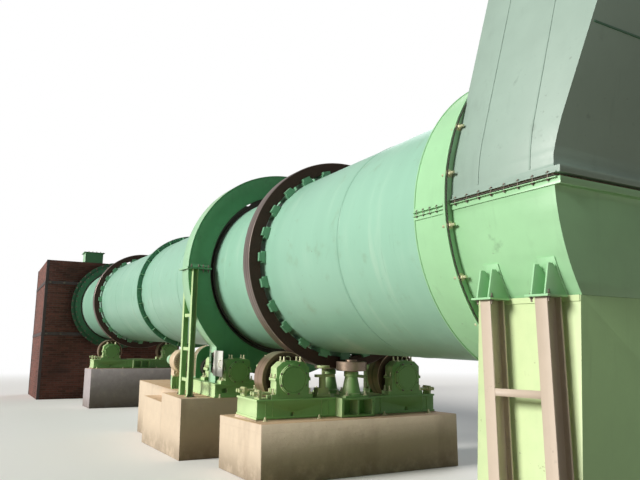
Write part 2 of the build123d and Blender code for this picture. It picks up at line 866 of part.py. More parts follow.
# Piers: plumb, level concrete blocks, each with a wedge of grout up to the sloping base
grout_edge = 12
with BuildPart() as station_piers:
    for station in stations:
        back = world_x(station - pier_half_widths[station], base_bottom)
        front = world_x(station + pier_half_widths[station], base_bottom)
        pier_top = world_z(station + pier_half_widths[0], base_bottom)
        with BuildSketch(Plane.XY):
            with Locations(((back + front) / 2, 0)):
                Rectangle(front - back, 2 * pier_half_length)
        extrude(amount=pier_top)
        grout = pier_profile(station - base_half_width - grout_edge, station + base_half_width + grout_edge, base_bottom)
        with BuildSketch(upright(base_half_length + grout_edge)):
            with BuildLine():
                Polyline((grout[0][0], pier_top - 1), (grout[1][0], pier_top - 1), grout[2], grout[3], close=True)
            make_face()
        extrude(amount=2 * (base_half_length + grout_edge))
save(station_piers.part, "station_piers")

# Drive pier: the block under the gear end, a longer one beside it toward the firing end, a lower step in the corner
drive_pier_left = -1730
drive_pier_right = 500
drive_pier_front = -1475
main_back = -2528
step_back = -3695
step_left = -1450
step_drop = 145
drive_pier_back = -5300
with BuildPart() as drive_pier:
    for left, right, back, front, top in (
        (drive_pier_left, drive_pier_right, main_back, drive_pier_front, drive_base_bottom),
        (step_left, drive_pier_right, drive_pier_back, main_back + 1, drive_base_bottom),
        (drive_pier_left, step_left + 1, step_back, main_back + 1, drive_base_bottom - step_drop),
    ):
        with BuildSketch(upright(right)):
            with BuildLine():
                Polyline(*pier_profile(back, front, top), close=True)
            make_face()
        extrude(amount=right - left)
save(drive_pier.part, "drive_pier")

# Channel legs flat against the guard's faces, tied by rungs, under the split flange on both sides
leg_plate = 8
leg_inner = leg_size - 2 * leg_plate
rung_gap = guard_depth + 2 * leg_plate
rung_width = 40
with BuildPart() as guard_legs:
    for hand, foot in ((-1, drive_base_bottom), (1, -axis_height)):
        for outward, along in ((1, guard_front + leg_size / 2), (-1, guard_back - leg_size / 2)):
            with BuildSketch(plan(foot)):
                with Locations((along, hand * leg_y)):
                    Rectangle(leg_size, leg_size)
                with Locations((along + outward * leg_plate, hand * leg_y)):
                    Rectangle(leg_size, leg_inner, mode=Mode.SUBTRACT)
            extrude(amount=-split_flange - foot)
        for drop in rung_drops:
            with BuildSketch(plan(-drop)):
                with Locations((gear_s, hand * leg_y)):
                    Rectangle(rung_gap, rung_width)
            extrude(amount=50)
    split(bisect_by=Plane.XY, keep=Keep.TOP)
    for along in (guard_front + leg_size / 2, guard_back - leg_size / 2):
        with BuildSketch(plan(drive_base_bottom)):
            with Locations((along, -leg_y)):
                Rectangle(leg_size + 30, leg_size + 30)
        extrude(amount=leg_plate)
save(guard_legs.part, "guard_legs")

# Fixed seal housing at the discharge end, bolted in halves, with its back flange ring
with BuildPart() as discharge_seal:
    with BuildSketch(at(seal_front)):
        Circle(seal_radius)
        Circle(seal_radius - seal_wall, mode=Mode.SUBTRACT)
    extrude(amount=seal_back - seal_front)
    with BuildSketch(at(seal_front)):
        Circle(seal_radius)
        Circle(drum_radius + 30, mode=Mode.SUBTRACT)
    extrude(amount=10)
    with BuildSketch(at(seal_back)):
        Circle(ring_radius)
        Circle(hood_opening, mode=Mode.SUBTRACT)
    extrude(amount=ring_plate)
    for hand in (1, -1):
        for rise in (1, -1):
            for reach, height in ((clamp_reach, angle_thick), (angle_thick, angle_leg - 8)):
                with BuildSketch(plan(joint_level + rise * joint_half_gap)):
                    with Locations(((seal_front + seal_back) / 2, hand * (seal_radius - 3 + reach / 2))):
                        Rectangle(seal_back - seal_front, reach + 6)
                extrude(amount=rise * height)
save(discharge_seal.part, "discharge_seal")


# Hood body: round at axis height, straight walls leaning in, back wall leaning out
turn = 110
hood_solids = []
for inset, overrun in ((0, 0), (hood_wall, 1)):
    radius = hood_radius - inset
    shoulder = radius * cos(hood_lean)
    start = radius * sin(hood_lean)
    reach = hood_top + 200
    narrow = shoulder - (reach - start) * tan(hood_lean)
    low = joint_level + joint_half_gap - overrun
    high = hood_top + overrun
    with BuildPart() as hood_solid:
        with BuildSketch(at(hood_front)):
            with BuildLine():
                CenterArc((0, 0), radius, 0, degrees(hood_lean))
                Polyline((shoulder, start), (narrow, reach), (-narrow, reach), (-shoulder, start))
                CenterArc((0, 0), radius, 180 - degrees(hood_lean), degrees(hood_lean))
                Polyline((-radius, 0), (-radius, joint_level), (radius, joint_level), (radius, 0))
            make_face()
        extrude(amount=2500)
        with BuildSketch(side(0)):
            with BuildLine():
                Polyline(
                    (hood_front + inset, low),
                    (hood_back - inset, low),
                    (hood_back - inset, turn),
                    (hood_back - inset + end_lean * (high - turn), high),
                    (hood_front + inset, high),
                    close=True,
                )
            make_face()
        extrude(amount=2000, both=True, mode=Mode.INTERSECT)
    hood_solids.append(hood_solid.part)


def joint_angle(rise):
    """Angle bar round the edge of one hood half: rise is 1 above the joint and -1 below it."""
    with BuildPart() as angle:
        for reach, end, height in ((flange_reach, flange_end, angle_thick), (angle_thick, band_end, angle_leg)):
            with BuildSketch(plan(joint_level + rise * joint_half_gap)):
                with Locations(((hood_front + hood_back + end) / 2, 0)):
                    Rectangle(hood_back + end - hood_front, 2 * (hood_radius + reach))
                with Locations(((hood_front + hood_back) / 2, 0)):
                    Rectangle(hood_back - hood_front - 2 * hood_wall, 2 * (hood_radius - hood_wall), mode=Mode.SUBTRACT)
                with Locations((hood_front, 0)):
                    Rectangle(4 * hood_wall, 2 * hood_opening, mode=Mode.SUBTRACT)
            extrude(amount=rise * height)
    return angle.part


# Upper hood, on the joint's upper angle
with BuildPart() as hood_upper:
    add(hood_solids[0])
    add(hood_solids[1], mode=Mode.SUBTRACT)
    with BuildSketch(at(hood_front)):
        Circle(hood_opening)
    extrude(amount=hood_wall, mode=Mode.SUBTRACT)
    add(joint_angle(1))
save(hood_upper.part, "hood_upper")

# Lower hood: round shell down to the seat of the discharge chute
with BuildPart() as hood_lower:
    with BuildSketch(at(hood_front)):
        Circle(hood_radius)
    extrude(amount=hood_back - hood_front)
    with BuildSketch(at(hood_front + hood_wall)):
        Circle(hood_radius - hood_wall)
    extrude(amount=hood_back - hood_front - 2 * hood_wall, mode=Mode.SUBTRACT)
    with BuildSketch(at(hood_front)):
        Circle(hood_opening)
    extrude(amount=hood_wall, mode=Mode.SUBTRACT)
    split(bisect_by=plan(joint_level - joint_half_gap), keep=Keep.BOTTOM)
    split(bisect_by=plan(chute_seat), keep=Keep.TOP)
    add(joint_angle(-1))
save(hood_lower.part, "hood_lower")

# Packing between the two hood flanges
with BuildPart() as hood_gasket:
    with BuildSketch(plan(joint_level - joint_half_gap)):
        with Locations(((hood_front + hood_back + packing_reach) / 2, 0)):
            Rectangle(hood_back + packing_reach - hood_front, 2 * (hood_radius + packing_reach))
        with Locations(((hood_front + hood_back) / 2, 0)):
            Rectangle(hood_back - hood_front - 2 * hood_wall, 2 * (hood_radius - hood_wall), mode=Mode.SUBTRACT)
        with Locations((hood_front, 0)):
            Rectangle(4 * hood_wall, 2 * hood_opening, mode=Mode.SUBTRACT)
    extrude(amount=2 * joint_half_gap)
save(hood_gasket.part, "hood_gasket")

# Discharge chute: box under the hood, leaning a little toward the firing end, open at both ends
seat_front = (world_x(chute_front, chute_seat), world_z(chute_front, chute_seat))
seat_back = (world_x(hood_back, chute_seat), world_z(hood_back, chute_seat))
chute_solids = []
for inset, overrun in ((0, 0), (hood_wall, 60)):
    with BuildPart() as chute_solid:
        with BuildSketch(upright(0)):
            with BuildLine():
                Polyline(
                    (seat_front[0] + inset, seat_front[1] + overrun),
                    (seat_front[0] + inset - chute_slope * seat_front[1], -overrun),
                    (seat_back[0] - inset - chute_slope * seat_back[1], -overrun),
                    (seat_back[0] - inset, seat_back[1] + overrun),
                    close=True,
                )
            make_face()
        extrude(amount=chute_half - inset, both=True)
    chute_solids.append(chute_solid.part)

# Collar that closes the chute to the seal's back ring below the seat
with BuildPart() as chute_collar:
    with BuildSketch(at(hood_front)):
        Circle(hood_opening + hood_wall)
    extrude(amount=chute_front - hood_front + hood_wall)
    split(bisect_by=plan(chute_seat), keep=Keep.BOTTOM)

chute_foot_x = (seat_front[0] + seat_back[0]) / 2 - chute_slope * (seat_front[1] + seat_back[1]) / 2
chute_foot = seat_back[0] - seat_front[0]
with BuildPart() as discharge_chute:
    add(chute_solids[0])
    add(chute_collar.part)
    with BuildSketch(Plane.XY):
        with Locations((chute_foot_x, 0)):
            Rectangle(chute_foot + 60, 2 * chute_half + 60)
    extrude(amount=12)
    add(chute_solids[1], mode=Mode.SUBTRACT)
    with BuildSketch(at(hood_front)):
        Circle(hood_opening)
    extrude(amount=chute_front - hood_front + 3 * hood_wall, mode=Mode.SUBTRACT)
save(discharge_chute.part, "discharge_chute")

# Hood brackets: curved pad, two gussets and a seat plate over each column
gusset_rise = 188
gusset_shifts = (-column_width / 2 - 14, column_width / 2 - 4)
gusset_plate = 12
pad_half = 72
pad_rise = 227
pad_thick = 8
seat_plate = 14
gusset_inner = chute_half - 30
column_outer = column_y + column_depth / 2
with BuildPart() as bracket_ring:
    for along in column_positions:
        with BuildSketch(at(along + sum(gusset_shifts) / 2 - pad_half)):
            Circle(hood_radius + pad_thick)
            Circle(hood_radius, mode=Mode.SUBTRACT)
        extrude(amount=2 * pad_half)
    split(bisect_by=plan(bracket_seat + pad_rise), keep=Keep.BOTTOM)
    split(bisect_by=plan(bracket_seat), keep=Keep.TOP)

with BuildPart() as hood_brackets:
    add(bracket_ring.part)
    for along in column_positions:
        for shift in gusset_shifts:
            with BuildSketch(at(along + shift)):
                for hand in (1, -1):
                    with BuildLine():
                        Polyline(
                            (hand * gusset_inner, bracket_seat),
                            (hand * (column_outer + 21), bracket_seat),
                            (hand * (column_outer - 17), bracket_seat + gusset_rise),
                            (hand * (column_outer - 52), bracket_seat + gusset_rise),
                            (hand * (column_outer - 104), bracket_seat + gusset_rise - 52),
                            (hand * gusset_inner, bracket_seat + gusset_rise - 52),
                            close=True,
                        )
                    make_face()
                Circle(hood_radius, mode=Mode.SUBTRACT)
            extrude(amount=gusset_plate)
        with BuildSketch(plan(bracket_seat)):
            for hand in (1, -1):
                with Locations((along + sum(gusset_shifts) / 2 - 2, hand * (column_y + 6))):
                    Rectangle(182, column_depth + 44)
        extrude(amount=-seat_plate)
save(hood_brackets.part, "hood_brackets")

# Columns under the hood brackets, tied in pairs
flange_web = 12
tie_height = 47
foot_plate = 16
under_seat = bracket_seat - seat_plate
with BuildPart() as hood_columns:
    for along in column_positions:
        foot_x = world_x(along, under_seat)
        for hand in (1, -1):
            with BuildSketch(Plane.XY):
                with Locations((foot_x, hand * column_y)):
                    Rectangle(column_width, column_depth)
                for shift in (1, -1):
                    with Locations((foot_x + shift * (column_width + flange_web) / 4, hand * column_y)):
                        Rectangle((column_width - flange_web) / 2, column_depth - 2 * flange_web, mode=Mode.SUBTRACT)
            extrude(amount=axis_height)
    for hand in (1, -1):
        with BuildSketch(Plane.XY.offset(axis_height - tie_drop)):
            with Locations((world_x(sum(column_positions) / 2, under_seat), hand * (column_outer - flange_web))):
                Rectangle(column_positions[1] - column_positions[0] - column_width + 20, 14)
        extrude(amount=tie_height)
    split(bisect_by=plan(under_seat), keep=Keep.BOTTOM)
    for along in column_positions:
        for hand in (1, -1):
            with BuildSketch(Plane.XY):
                with Locations((world_x(along, under_seat), hand * (column_y + 30))):
                    Rectangle(column_width + 90, column_depth + 50)
            extrude(amount=foot_plate)
save(hood_columns.part, "hood_columns")

# Exhaust duct stub above the hood, flanged at both ends
duct_half = hood_radius * cos(hood_lean) - (hood_top - hood_radius * sin(hood_lean)) * tan(hood_lean)
duct_front = hood_front
duct_back = hood_back + end_lean * (hood_top - 110)
duct_mid = (duct_front + duct_back) / 2
with BuildPart() as exhaust_duct:
    with BuildSketch(plan(hood_top)):
        with Locations((duct_mid, 0)):
            Rectangle(duct_back - duct_front, 2 * duct_half)
            Rectangle(duct_back - duct_front - 2 * hood_wall, 2 * (duct_half - hood_wall), mode=Mode.SUBTRACT)
    extrude(amount=duct_height)
    for level in (hood_top, hood_top + 20, hood_top + duct_height - 14):
        with BuildSketch(plan(level)):
            with Locations((duct_mid, 0)):
                Rectangle(duct_back - duct_front + 120, 2 * duct_half + 120)
                Rectangle(duct_back - duct_front - 2 * hood_wall, 2 * (duct_half - hood_wall), mode=Mode.SUBTRACT)
        extrude(amount=14)
save(exhaust_duct.part, "exhaust_duct")

# Fixed seal housing at the inlet end, standing on the head's face
with BuildPart() as inlet_seal:
    with BuildSketch(at(head_face - 300)):
        Circle(inlet_radius)
        Circle(inlet_radius - 12, mode=Mode.SUBTRACT)
    extrude(amount=inlet_front - head_face + 300)
    split(bisect_by=Plane(origin=(head_face, 0, 0), x_dir=(0, 1, 0), z_dir=(1, 0, 0)), keep=Keep.TOP)
    with BuildSketch(at(inlet_front - 150)):
        Circle(inlet_radius + 195)
        Circle(inlet_radius - 6, mode=Mode.SUBTRACT)
    extrude(amount=14)
    with BuildSketch(at(inlet_front - 150)):
        with PolarLocations(inlet_radius + 30, 16):
            Rectangle(72, 12)
    extrude(amount=145)
    with BuildSketch(at(inlet_front - 12)):
        Circle(inlet_radius + 75)
        Circle(drum_radius + 32, mode=Mode.SUBTRACT)
    extrude(amount=12)
save(inlet_seal.part, "inlet_seal")

# Brick firing head: hollow, open to the drum, with a burner opening behind
head_axis = world_z(head_face, 0)
with BuildPart() as firing_head:
    with BuildSketch(Plane.XY):
        with Locations((head_face - head_depth / 2, 0)):
            Rectangle(head_depth, 2 * head_half_width)
    extrude(amount=head_height)
    with BuildSketch(Plane.XY.offset(head_wall)):
        with Locations((head_face - head_depth / 2, 0)):
            Rectangle(head_depth - 2 * head_wall, 2 * (head_half_width - head_wall))
    extrude(amount=head_height - 2 * head_wall, mode=Mode.SUBTRACT)
    with BuildSketch(at(head_face - head_wall - 100)):
        Circle(drum_radius + 60)
    extrude(amount=head_wall + 300, mode=Mode.SUBTRACT)
    with BuildSketch(Plane(origin=(head_face - head_depth, 0, burner_height), x_dir=(0, 1, 0), z_dir=(1, 0, 0))):
        Circle(420)
    extrude(amount=head_wall, mode=Mode.SUBTRACT)
    with BuildSketch(Plane.XY.offset(head_height)):
        with Locations((head_face - feed_back, feed_y)):
            Rectangle(feed_bore, feed_bore)
    extrude(amount=-head_wall, mode=Mode.SUBTRACT)
save(firing_head.part, "firing_head")

# Steel binding of the head: corner angles and two rings of flat bands
stay = 90
with BuildPart() as head_steel:
    for along in (head_face, head_face - head_depth):
        inward = -1 if along == head_face else 1
        for hand in (1, -1):
            with BuildSketch(Plane.XY):
                with Locations((along - inward * 6, hand * (head_half_width - stay / 2 + 12))):
                    Rectangle(12, stay)
                with Locations((along + inward * (stay / 2 - 12), hand * (head_half_width + 6))):
                    Rectangle(stay, 12)
            extrude(amount=head_height)
    for level in (2150, 3930):
        with BuildSketch(Plane.XY.offset(level)):
            with Locations((head_face - head_depth / 2, 0)):
                Rectangle(head_depth + 40, 2 * head_half_width + 40)
                Rectangle(head_depth + 24, 2 * head_half_width + 24, mode=Mode.SUBTRACT)
        extrude(amount=110)
    for level in (2150, 3930):
        with BuildSketch(Plane.XY.offset(level)):
            with Locations((head_face - head_depth / 2, 0)):
                Rectangle(head_depth + 24, 2 * head_half_width + 24)
                Rectangle(head_depth, 2 * head_half_width, mode=Mode.SUBTRACT)
        extrude(amount=110)
    with BuildSketch(at(head_face - 400)):
        Circle(inlet_radius + 40)
    extrude(amount=900, mode=Mode.SUBTRACT)
save(head_steel.part, "head_steel")

# Burner plate with its air and fuel neck behind the head
burner_x = head_face - head_depth
with BuildPart() as burner_neck:
    with BuildSketch(Plane(origin=(burner_x, 0, burner_height), x_dir=(0, 1, 0), z_dir=(-1, 0, 0))):
        Circle(520)
        Circle(300, mode=Mode.SUBTRACT)
    extrude(amount=20)
    with BuildSketch(Plane(origin=(burner_x - 20, 0, burner_height), x_dir=(0, 1, 0), z_dir=(-1, 0, 0))):
        Circle(310)
        Circle(300, mode=Mode.SUBTRACT)
    extrude(amount=420)
    with BuildSketch(Plane(origin=(burner_x - 426, 0, burner_height), x_dir=(0, 1, 0), z_dir=(-1, 0, 0))):
        Circle(375)
        Circle(300, mode=Mode.SUBTRACT)
    extrude(amount=14)
save(burner_neck.part, "burner_neck")

# Feed chute neck on top of the head
feed_wall = 8
feed_plate = 14
feed_height = 420
with BuildPart() as feed_chute:
    for level, width, height in (
        (0, feed_bore + 200, feed_plate),
        (feed_plate, feed_bore + 2 * feed_wall, feed_height - feed_plate),
        (feed_height, feed_bore + 120, feed_plate),
    ):
        with BuildSketch(Plane.XY.offset(head_height + level)):
            with Locations((head_face - feed_back, feed_y)):
                Rectangle(width, width)
                Rectangle(feed_bore, feed_bore, mode=Mode.SUBTRACT)
        extrude(amount=height)
save(feed_chute.part, "feed_chute")
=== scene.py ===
"""Dressed rotary drum dryer, laid out as an add-on and run as a script."""
import math
import random

import bmesh
import bpy
from mathutils import Matrix, Vector


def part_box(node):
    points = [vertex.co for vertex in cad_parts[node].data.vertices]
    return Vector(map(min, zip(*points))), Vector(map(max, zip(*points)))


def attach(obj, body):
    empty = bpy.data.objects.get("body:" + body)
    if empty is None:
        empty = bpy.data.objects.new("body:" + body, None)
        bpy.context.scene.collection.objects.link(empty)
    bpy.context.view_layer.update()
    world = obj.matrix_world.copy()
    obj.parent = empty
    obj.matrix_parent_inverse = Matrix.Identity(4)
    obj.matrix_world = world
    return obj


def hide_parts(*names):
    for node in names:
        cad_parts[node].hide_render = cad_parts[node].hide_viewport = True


bl_info = {
    "name": "Rotary Drum Dryer",
    "version": (1, 0, 0),
    "blender": (4, 5, 0),
    "location": "View3D > Sidebar > Dryer",
    "description": "Dresses the packed drum dryer with its bolts, welds, packing and finishes",
    "category": "Add Mesh",
}

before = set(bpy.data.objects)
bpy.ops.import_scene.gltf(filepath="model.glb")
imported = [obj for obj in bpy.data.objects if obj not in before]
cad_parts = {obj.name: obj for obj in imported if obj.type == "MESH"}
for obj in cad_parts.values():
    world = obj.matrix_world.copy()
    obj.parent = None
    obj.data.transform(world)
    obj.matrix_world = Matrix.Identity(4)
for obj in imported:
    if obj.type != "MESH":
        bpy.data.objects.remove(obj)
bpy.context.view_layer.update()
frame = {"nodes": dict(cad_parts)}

# Machine line: s along the drum's axis toward the discharge end, y across, n square up
AXIS_HEIGHT = 2.68
TILT = math.atan(0.035)
ALONG = Vector((math.cos(TILT), 0.0, -math.sin(TILT)))
ACROSS = Vector((0.0, 1.0, 0.0))
UP = Vector((math.sin(TILT), 0.0, math.cos(TILT)))
LENGTHWISE, VERTICAL = Vector((1.0, 0.0, 0.0)), Vector((0.0, 0.0, 1.0))
LINE = Matrix((
    (ALONG.x, 0.0, UP.x, 0.0),
    (ALONG.y, 1.0, UP.y, 0.0),
    (ALONG.z, 0.0, UP.z, AXIS_HEIGHT),
    (0.0, 0.0, 0.0, 1.0),
))
PLUMB = Matrix.Identity(4)

# Places on the machine, in metres
STATIONS = (0.0, -12.0)
DRUM_RADIUS = 1.2
COURSE, LAST_COURSE = 1.95, 2
TYRE_RADIUS, TYRE_HALF = 1.415, 0.095
ROLLER_Y, ROLLER_N, ROLLER_RADIUS = 0.860264, -1.520511, 0.3317
HOUSING_BACK, HOUSING_DEPTH = 0.15, 0.17
HOUSING_TOP = ROLLER_N + 0.212
BASE_TOP, BASE_BOTTOM, BASE_HALF_WIDTH = -1.755, -1.988, 0.33
BASE_PLATE = 0.024
GUARD_FRONT, GUARD_BACK = -1.755, -2.065
GUARD_RADIUS, GUARD_BORE = 1.637, 1.292
PINION_Y, PINION_N = -0.89568, -1.526649
CASING_LEFT, CASING_RIGHT = PINION_Y - 0.245, PINION_Y + 0.285
CASING_BOTTOM = PINION_N - 0.262
DRIVE_TOP, DRIVE_BOTTOM, DRIVE_FRONT = -1.7, -1.895, -1.45
MOTOR_Y, MOTOR_N, MOTOR_FACE = -1.224, -1.443, -3.1
STOOL_Y = -1.236
SHROUD_FRONT, SHROUD_BACK, SHROUD_HALF = -2.76, -2.97, 0.232
SHROUD_ARCH = PINION_N + 0.122
SEAL_FRONT, SEAL_BACK, SEAL_RADIUS = 3.47, 3.965, 1.369
HOOD_FRONT, HOOD_BACK, HOOD_RADIUS = 3.985, 4.9, 1.425
HOOD_LEAN = math.radians(15.5)
HOOD_TOP = 2.3
JOINT_LEVEL, JOINT_HALF = -0.024, 0.018
HEAD_FACE, HEAD_BACK, HEAD_HEIGHT = -16.15, -19.75, 4.77
MACHINE_MIDDLE = -6.0
WORLD_AXES = ((1, 0, 0), (0, 1, 0), (0, 0, 1))


def place(s, y, n):
    """World point of a place on the machine line."""
    return LINE @ Vector((s, y, n))


def round_spot(k, count, start=0.0):
    """Cosine and sine of the k-th of count even steps round a circle, from a start in degrees."""
    angle = math.radians(start + 360.0 * k / count)
    return math.cos(angle), math.sin(angle)


def display(red, green, blue):
    """Linear colour from display values, all above 10 and up to 255."""
    return tuple(((c / 255 + 0.055) / 1.055) ** 2.4 for c in (red, green, blue))


# Shader sums

class Wire:
    """A node's socket that takes part in sums; each sum adds one Math node."""

    def __init__(self, finish, socket):
        self.finish = finish
        self.socket = socket

    def maths(self, operation, *others):
        """Math node fed by this socket and the others."""
        return self.finish.node("ShaderNodeMath", {"operation": operation}, dict(enumerate((self, *others))))

    def __add__(self, other):
        return self.maths("ADD", other)

    def __sub__(self, other):
        return self.maths("SUBTRACT", other)

    def __rsub__(self, other):
        return (self * -1.0) + other

    def __mul__(self, other):
        return self.maths("MULTIPLY", other)

    def __truediv__(self, other):
        return self.maths("DIVIDE", other)

    def __pow__(self, other):
        return self.maths("POWER", other)

    __radd__ = __add__
    __rmul__ = __mul__

    def rise(self, low, high):
        """0 below low, 1 above high, smooth between them; falls when low is above high."""
        return self.finish.node(
            "ShaderNodeMapRange",
            {"interpolation_type": "SMOOTHSTEP"},
            {"Value": self, "From Min": low, "From Max": high},
        )


class Finish:
    """One material: a Principled shader fed by colour, roughness and bump."""

    def __init__(self, name):
        self.material = bpy.data.materials.new(name)
        self.material.use_nodes = True
        self.tree = self.material.node_tree
        self.tree.nodes.clear()
        self.shader = self.tree.nodes.new("ShaderNodeBsdfPrincipled")
        output = self.tree.nodes.new("ShaderNodeOutputMaterial")
        self.tree.links.new(self.shader.outputs[0], output.inputs[0])
        self.point = self.node("ShaderNodeTexCoord", {}, {}, "Object")

    def node(self, kind, settings, inputs, output=0):
        """Adds a node with its settings and inputs, and gives one of its outputs."""
        made = self.tree.nodes.new(kind)
        for key, value in settings.items():
            setattr(made, key, value)
        for key, value in inputs.items():
            if isinstance(value, Wire):
                self.tree.links.new(value.socket, made.inputs[key])
            else:
                made.inputs[key].default_value = value
        return Wire(self, made.outputs[output])

    def reach(self, direction, origin=(0.0, 0.0, AXIS_HEIGHT)):
        """Distance along a direction from an origin, at each point of the surface."""
        shift = -Vector(direction).dot(Vector(origin))
        return self.dot(self.point, direction) + shift

    def dot(self, first, direction):
        """Dot product of a vector socket and a fixed direction."""
        settings = {"operation": "DOT_PRODUCT"}
        return self.node("ShaderNodeVectorMath", settings, {0: first, 1: tuple(direction)}, "Value")

    def stretch(self, along, across, up):
        """The point in machine-line axes, each scaled by its own amount."""
        amounts = ((ALONG, along), (ACROSS, across), (UP, up))
        rows = [self.reach(axis) * amount for axis, amount in amounts]
        return self.node("ShaderNodeCombineXYZ", {}, dict(enumerate(rows)))

    def scaled(self, across, up):
        """The point in world axes, scaled by one amount across and another up."""
        factors = (across, across, up)
        return self.node("ShaderNodeVectorMath", {"operation": "MULTIPLY"}, {0: self.point, 1: factors})

    def noise(self, scale, detail=4.0, rough=0.55, vector=None):
        """Soft noise over the object's own axes, or over another vector."""
        inputs = {"Vector": vector or self.point, "Scale": scale, "Detail": detail, "Roughness": rough}
        return self.node("ShaderNodeTexNoise", {"noise_dimensions": "3D"}, inputs)

    def cells(self, scale):
        """Distance to the nearest of many scattered points."""
        return self.node("ShaderNodeTexVoronoi", {"feature": "F1"}, {"Vector": self.point, "Scale": scale})

    def facing(self, axis):
        """How far the surface faces a world axis, from -1 to 1."""
        return self.dot(self.node("ShaderNodeNewGeometry", {}, {}, "Normal"), axis)

    def tint(self, first, second, factor):
        """Colour that goes from first to second as factor goes from 0 to 1."""
        first, second = (c if isinstance(c, Wire) else (*c, 1.0) for c in (first, second))
        return self.node("ShaderNodeMix", {"data_type": "RGBA"}, {0: factor, 6: first, 7: second}, 2)

    def close(self, colour, roughness, height=None, depth=0.002, metallic=0.0):
        """Feeds the shader and returns the material."""
        for key, value in (("Base Color", colour), ("Roughness", roughness), ("Metallic", metallic)):
            if isinstance(value, Wire):
                self.tree.links.new(value.socket, self.shader.inputs[key])
            else:
                self.shader.inputs[key].default_value = value
        if height is not None:
            bump = self.node("ShaderNodeBump", {}, {"Strength": 1.0, "Distance": depth, "Height": height})
            self.tree.links.new(bump.socket, self.shader.inputs["Normal"])
        return self.material


def shade(colour, amount):
    """A colour made darker or lighter by one factor."""
    return tuple(min(1.0, c * amount) for c in colour)


# Finishes

def fixed_paint(name, colour, dust=0.5, wear=0.5, streaks=0.5, sheen=0.36, painted_lit_side=None):
    """Brushed enamel on fixed plate: runs, dust on top, rust in chips, and a painted lighter tone on faces
    turned towards -Y, where the key light falls.
    """
    f = Finish(name)
    broad = f.noise(1.1, 3.0)
    mid = f.noise(7.0, 5.0)
    fine = f.noise(60.0, 3.0)
    runs = f.noise(1.0, 4.0, vector=f.scaled(11.0, 0.8))
    tone = f.tint(shade(colour, 0.80), shade(colour, 1.16), broad * 0.6 + mid * 0.4)
    tone = f.tint(tone, shade(colour, 0.55), runs.rise(0.56, 0.78) * (0.55 * streaks))
    # Painted light: faces turned towards -Y get a paler tone, as if lit by the key light.
    if painted_lit_side:
        tone = f.tint(tone, painted_lit_side, f.facing((0, -1, 0)).rise(0.25, 0.9) * (mid * 0.3 + 0.45))
    up = f.facing((0, 0, 1))
    settled = up.rise(0.35, 0.95) * mid.rise(0.25, 0.7) * dust
    tone = f.tint(tone, display(186, 176, 150), settled)
    grime = mid.rise(0.60, 0.76) * broad.rise(0.45, 0.62) * 0.35
    tone = f.tint(tone, display(52, 50, 38), grime)
    chips = f.noise(23.0, 6.0, 0.7).rise(0.655, 0.675) * broad.rise(0.50, 0.58) * wear
    tone = f.tint(tone, f.tint(display(92, 52, 33), display(44, 34, 30), fine), chips)
    rough = fine * 0.12 + mid * 0.14 + settled * 0.35 + chips * 0.3 + sheen - 0.08
    height = fine * 0.25 + mid * 0.5 - chips * 0.9
    return f.close(tone, rough, height, 0.0016)


def drum_paint(name, colour):
    """Enamel on the turning shell: rings of soft wear, whitish patches of painted sheen, plate tones, weld
    lines.
    """
    f = Finish(name)
    s = f.reach(ALONG)
    course = (s / COURSE).maths("FLOOR")
    tone_of_plate = f.node("ShaderNodeTexWhiteNoise", {"noise_dimensions": "1D"}, {"W": course})
    rings = f.noise(1.0, 5.0, vector=f.stretch(5.0, 0.55, 0.55))
    fine_rings = f.noise(1.0, 4.0, vector=f.stretch(34.0, 1.4, 1.4))
    broad = f.noise(0.7, 3.0)
    mid = f.noise(4.5, 5.0)
    fine = f.noise(70.0, 3.0)
    tone = f.tint(shade(colour, 0.83), shade(colour, 1.13), rings * 0.5 + broad * 0.5)
    tone = f.tint(tone, shade(colour, 0.88), tone_of_plate * 0.35)
    # Painted reflection: whitish patches along the rings stand in for sheen on the enamel.
    tone = f.tint(tone, display(196, 214, 196), rings.rise(0.52, 0.74) * broad.rise(0.40, 0.62) * 0.42)
    tone = f.tint(tone, display(116, 128, 92), mid.rise(0.58, 0.80) * 0.30)
    scuffs = fine_rings.rise(0.66, 0.74) * broad.rise(0.42, 0.6)
    tone = f.tint(tone, display(86, 104, 84), scuffs * 0.35)
    edge = (s / COURSE - course - 0.5).maths("ABSOLUTE")
    joint = edge.rise(0.482, 0.498)
    tone = f.tint(tone, shade(colour, 0.80), joint * 0.5)
    rust = f.noise(17.0, 6.0, 0.7).rise(0.675, 0.70) * mid.rise(0.5, 0.6)
    tone = f.tint(tone, display(105, 66, 44), rust * 0.7)
    rough = rings * 0.10 + mid * 0.10 + scuffs * 0.2 + rust * 0.25 + 0.24
    height = broad * 2.5 + mid * 0.45 + fine * 0.08 - joint * 1.2
    return f.close(tone, rough, height, 0.004)


def rolled_steel(name, rim, side, radius, centre=(0.0, 0.0)):
    """Rust on the faces, a rolled bright rim with fine turned lines."""
    f = Finish(name)
    origin = place(0.0, *centre)
    across = f.reach(ACROSS, origin)
    up = f.reach(UP, origin)
    far = (across * across + up * up) ** 0.5
    on_rim = far.rise(radius - 0.012, radius - 0.006)
    lines = f.noise(1.0, 6.0, 0.65, vector=f.stretch(150.0, 0.35, 0.35))
    bands = f.noise(1.0, 2.0, vector=f.stretch(22.0, 0.2, 0.2))
    mid = f.noise(9.0, 6.0, 0.65)
    fine = f.noise(55.0, 4.0)
    rust = f.tint(shade(side, 0.55), shade(side, 1.5), mid)
    rust = f.tint(rust, display(30, 22, 20), fine.rise(0.55, 0.72) * 0.6)
    bright = f.tint(shade(rim, 0.62), shade(rim, 1.35), lines * 0.55 + bands * 0.45)
    bright = f.tint(bright, display(84, 56, 42), bands.rise(0.52, 0.66) * 0.45)
    tone = f.tint(rust, bright, on_rim)
    of_side, of_rim = mid * 0.2 + 0.62, lines * 0.22 + 0.24
    rough = f.node("ShaderNodeMix", {"data_type": "FLOAT"}, {0: on_rim, 2: of_side, 3: of_rim})
    height = (1.0 - on_rim) * (mid * 0.7 + fine * 0.3) + on_rim * lines * 0.25
    return f.close(tone, rough, height, 0.002, metallic=on_rim * 0.75 + 0.1)


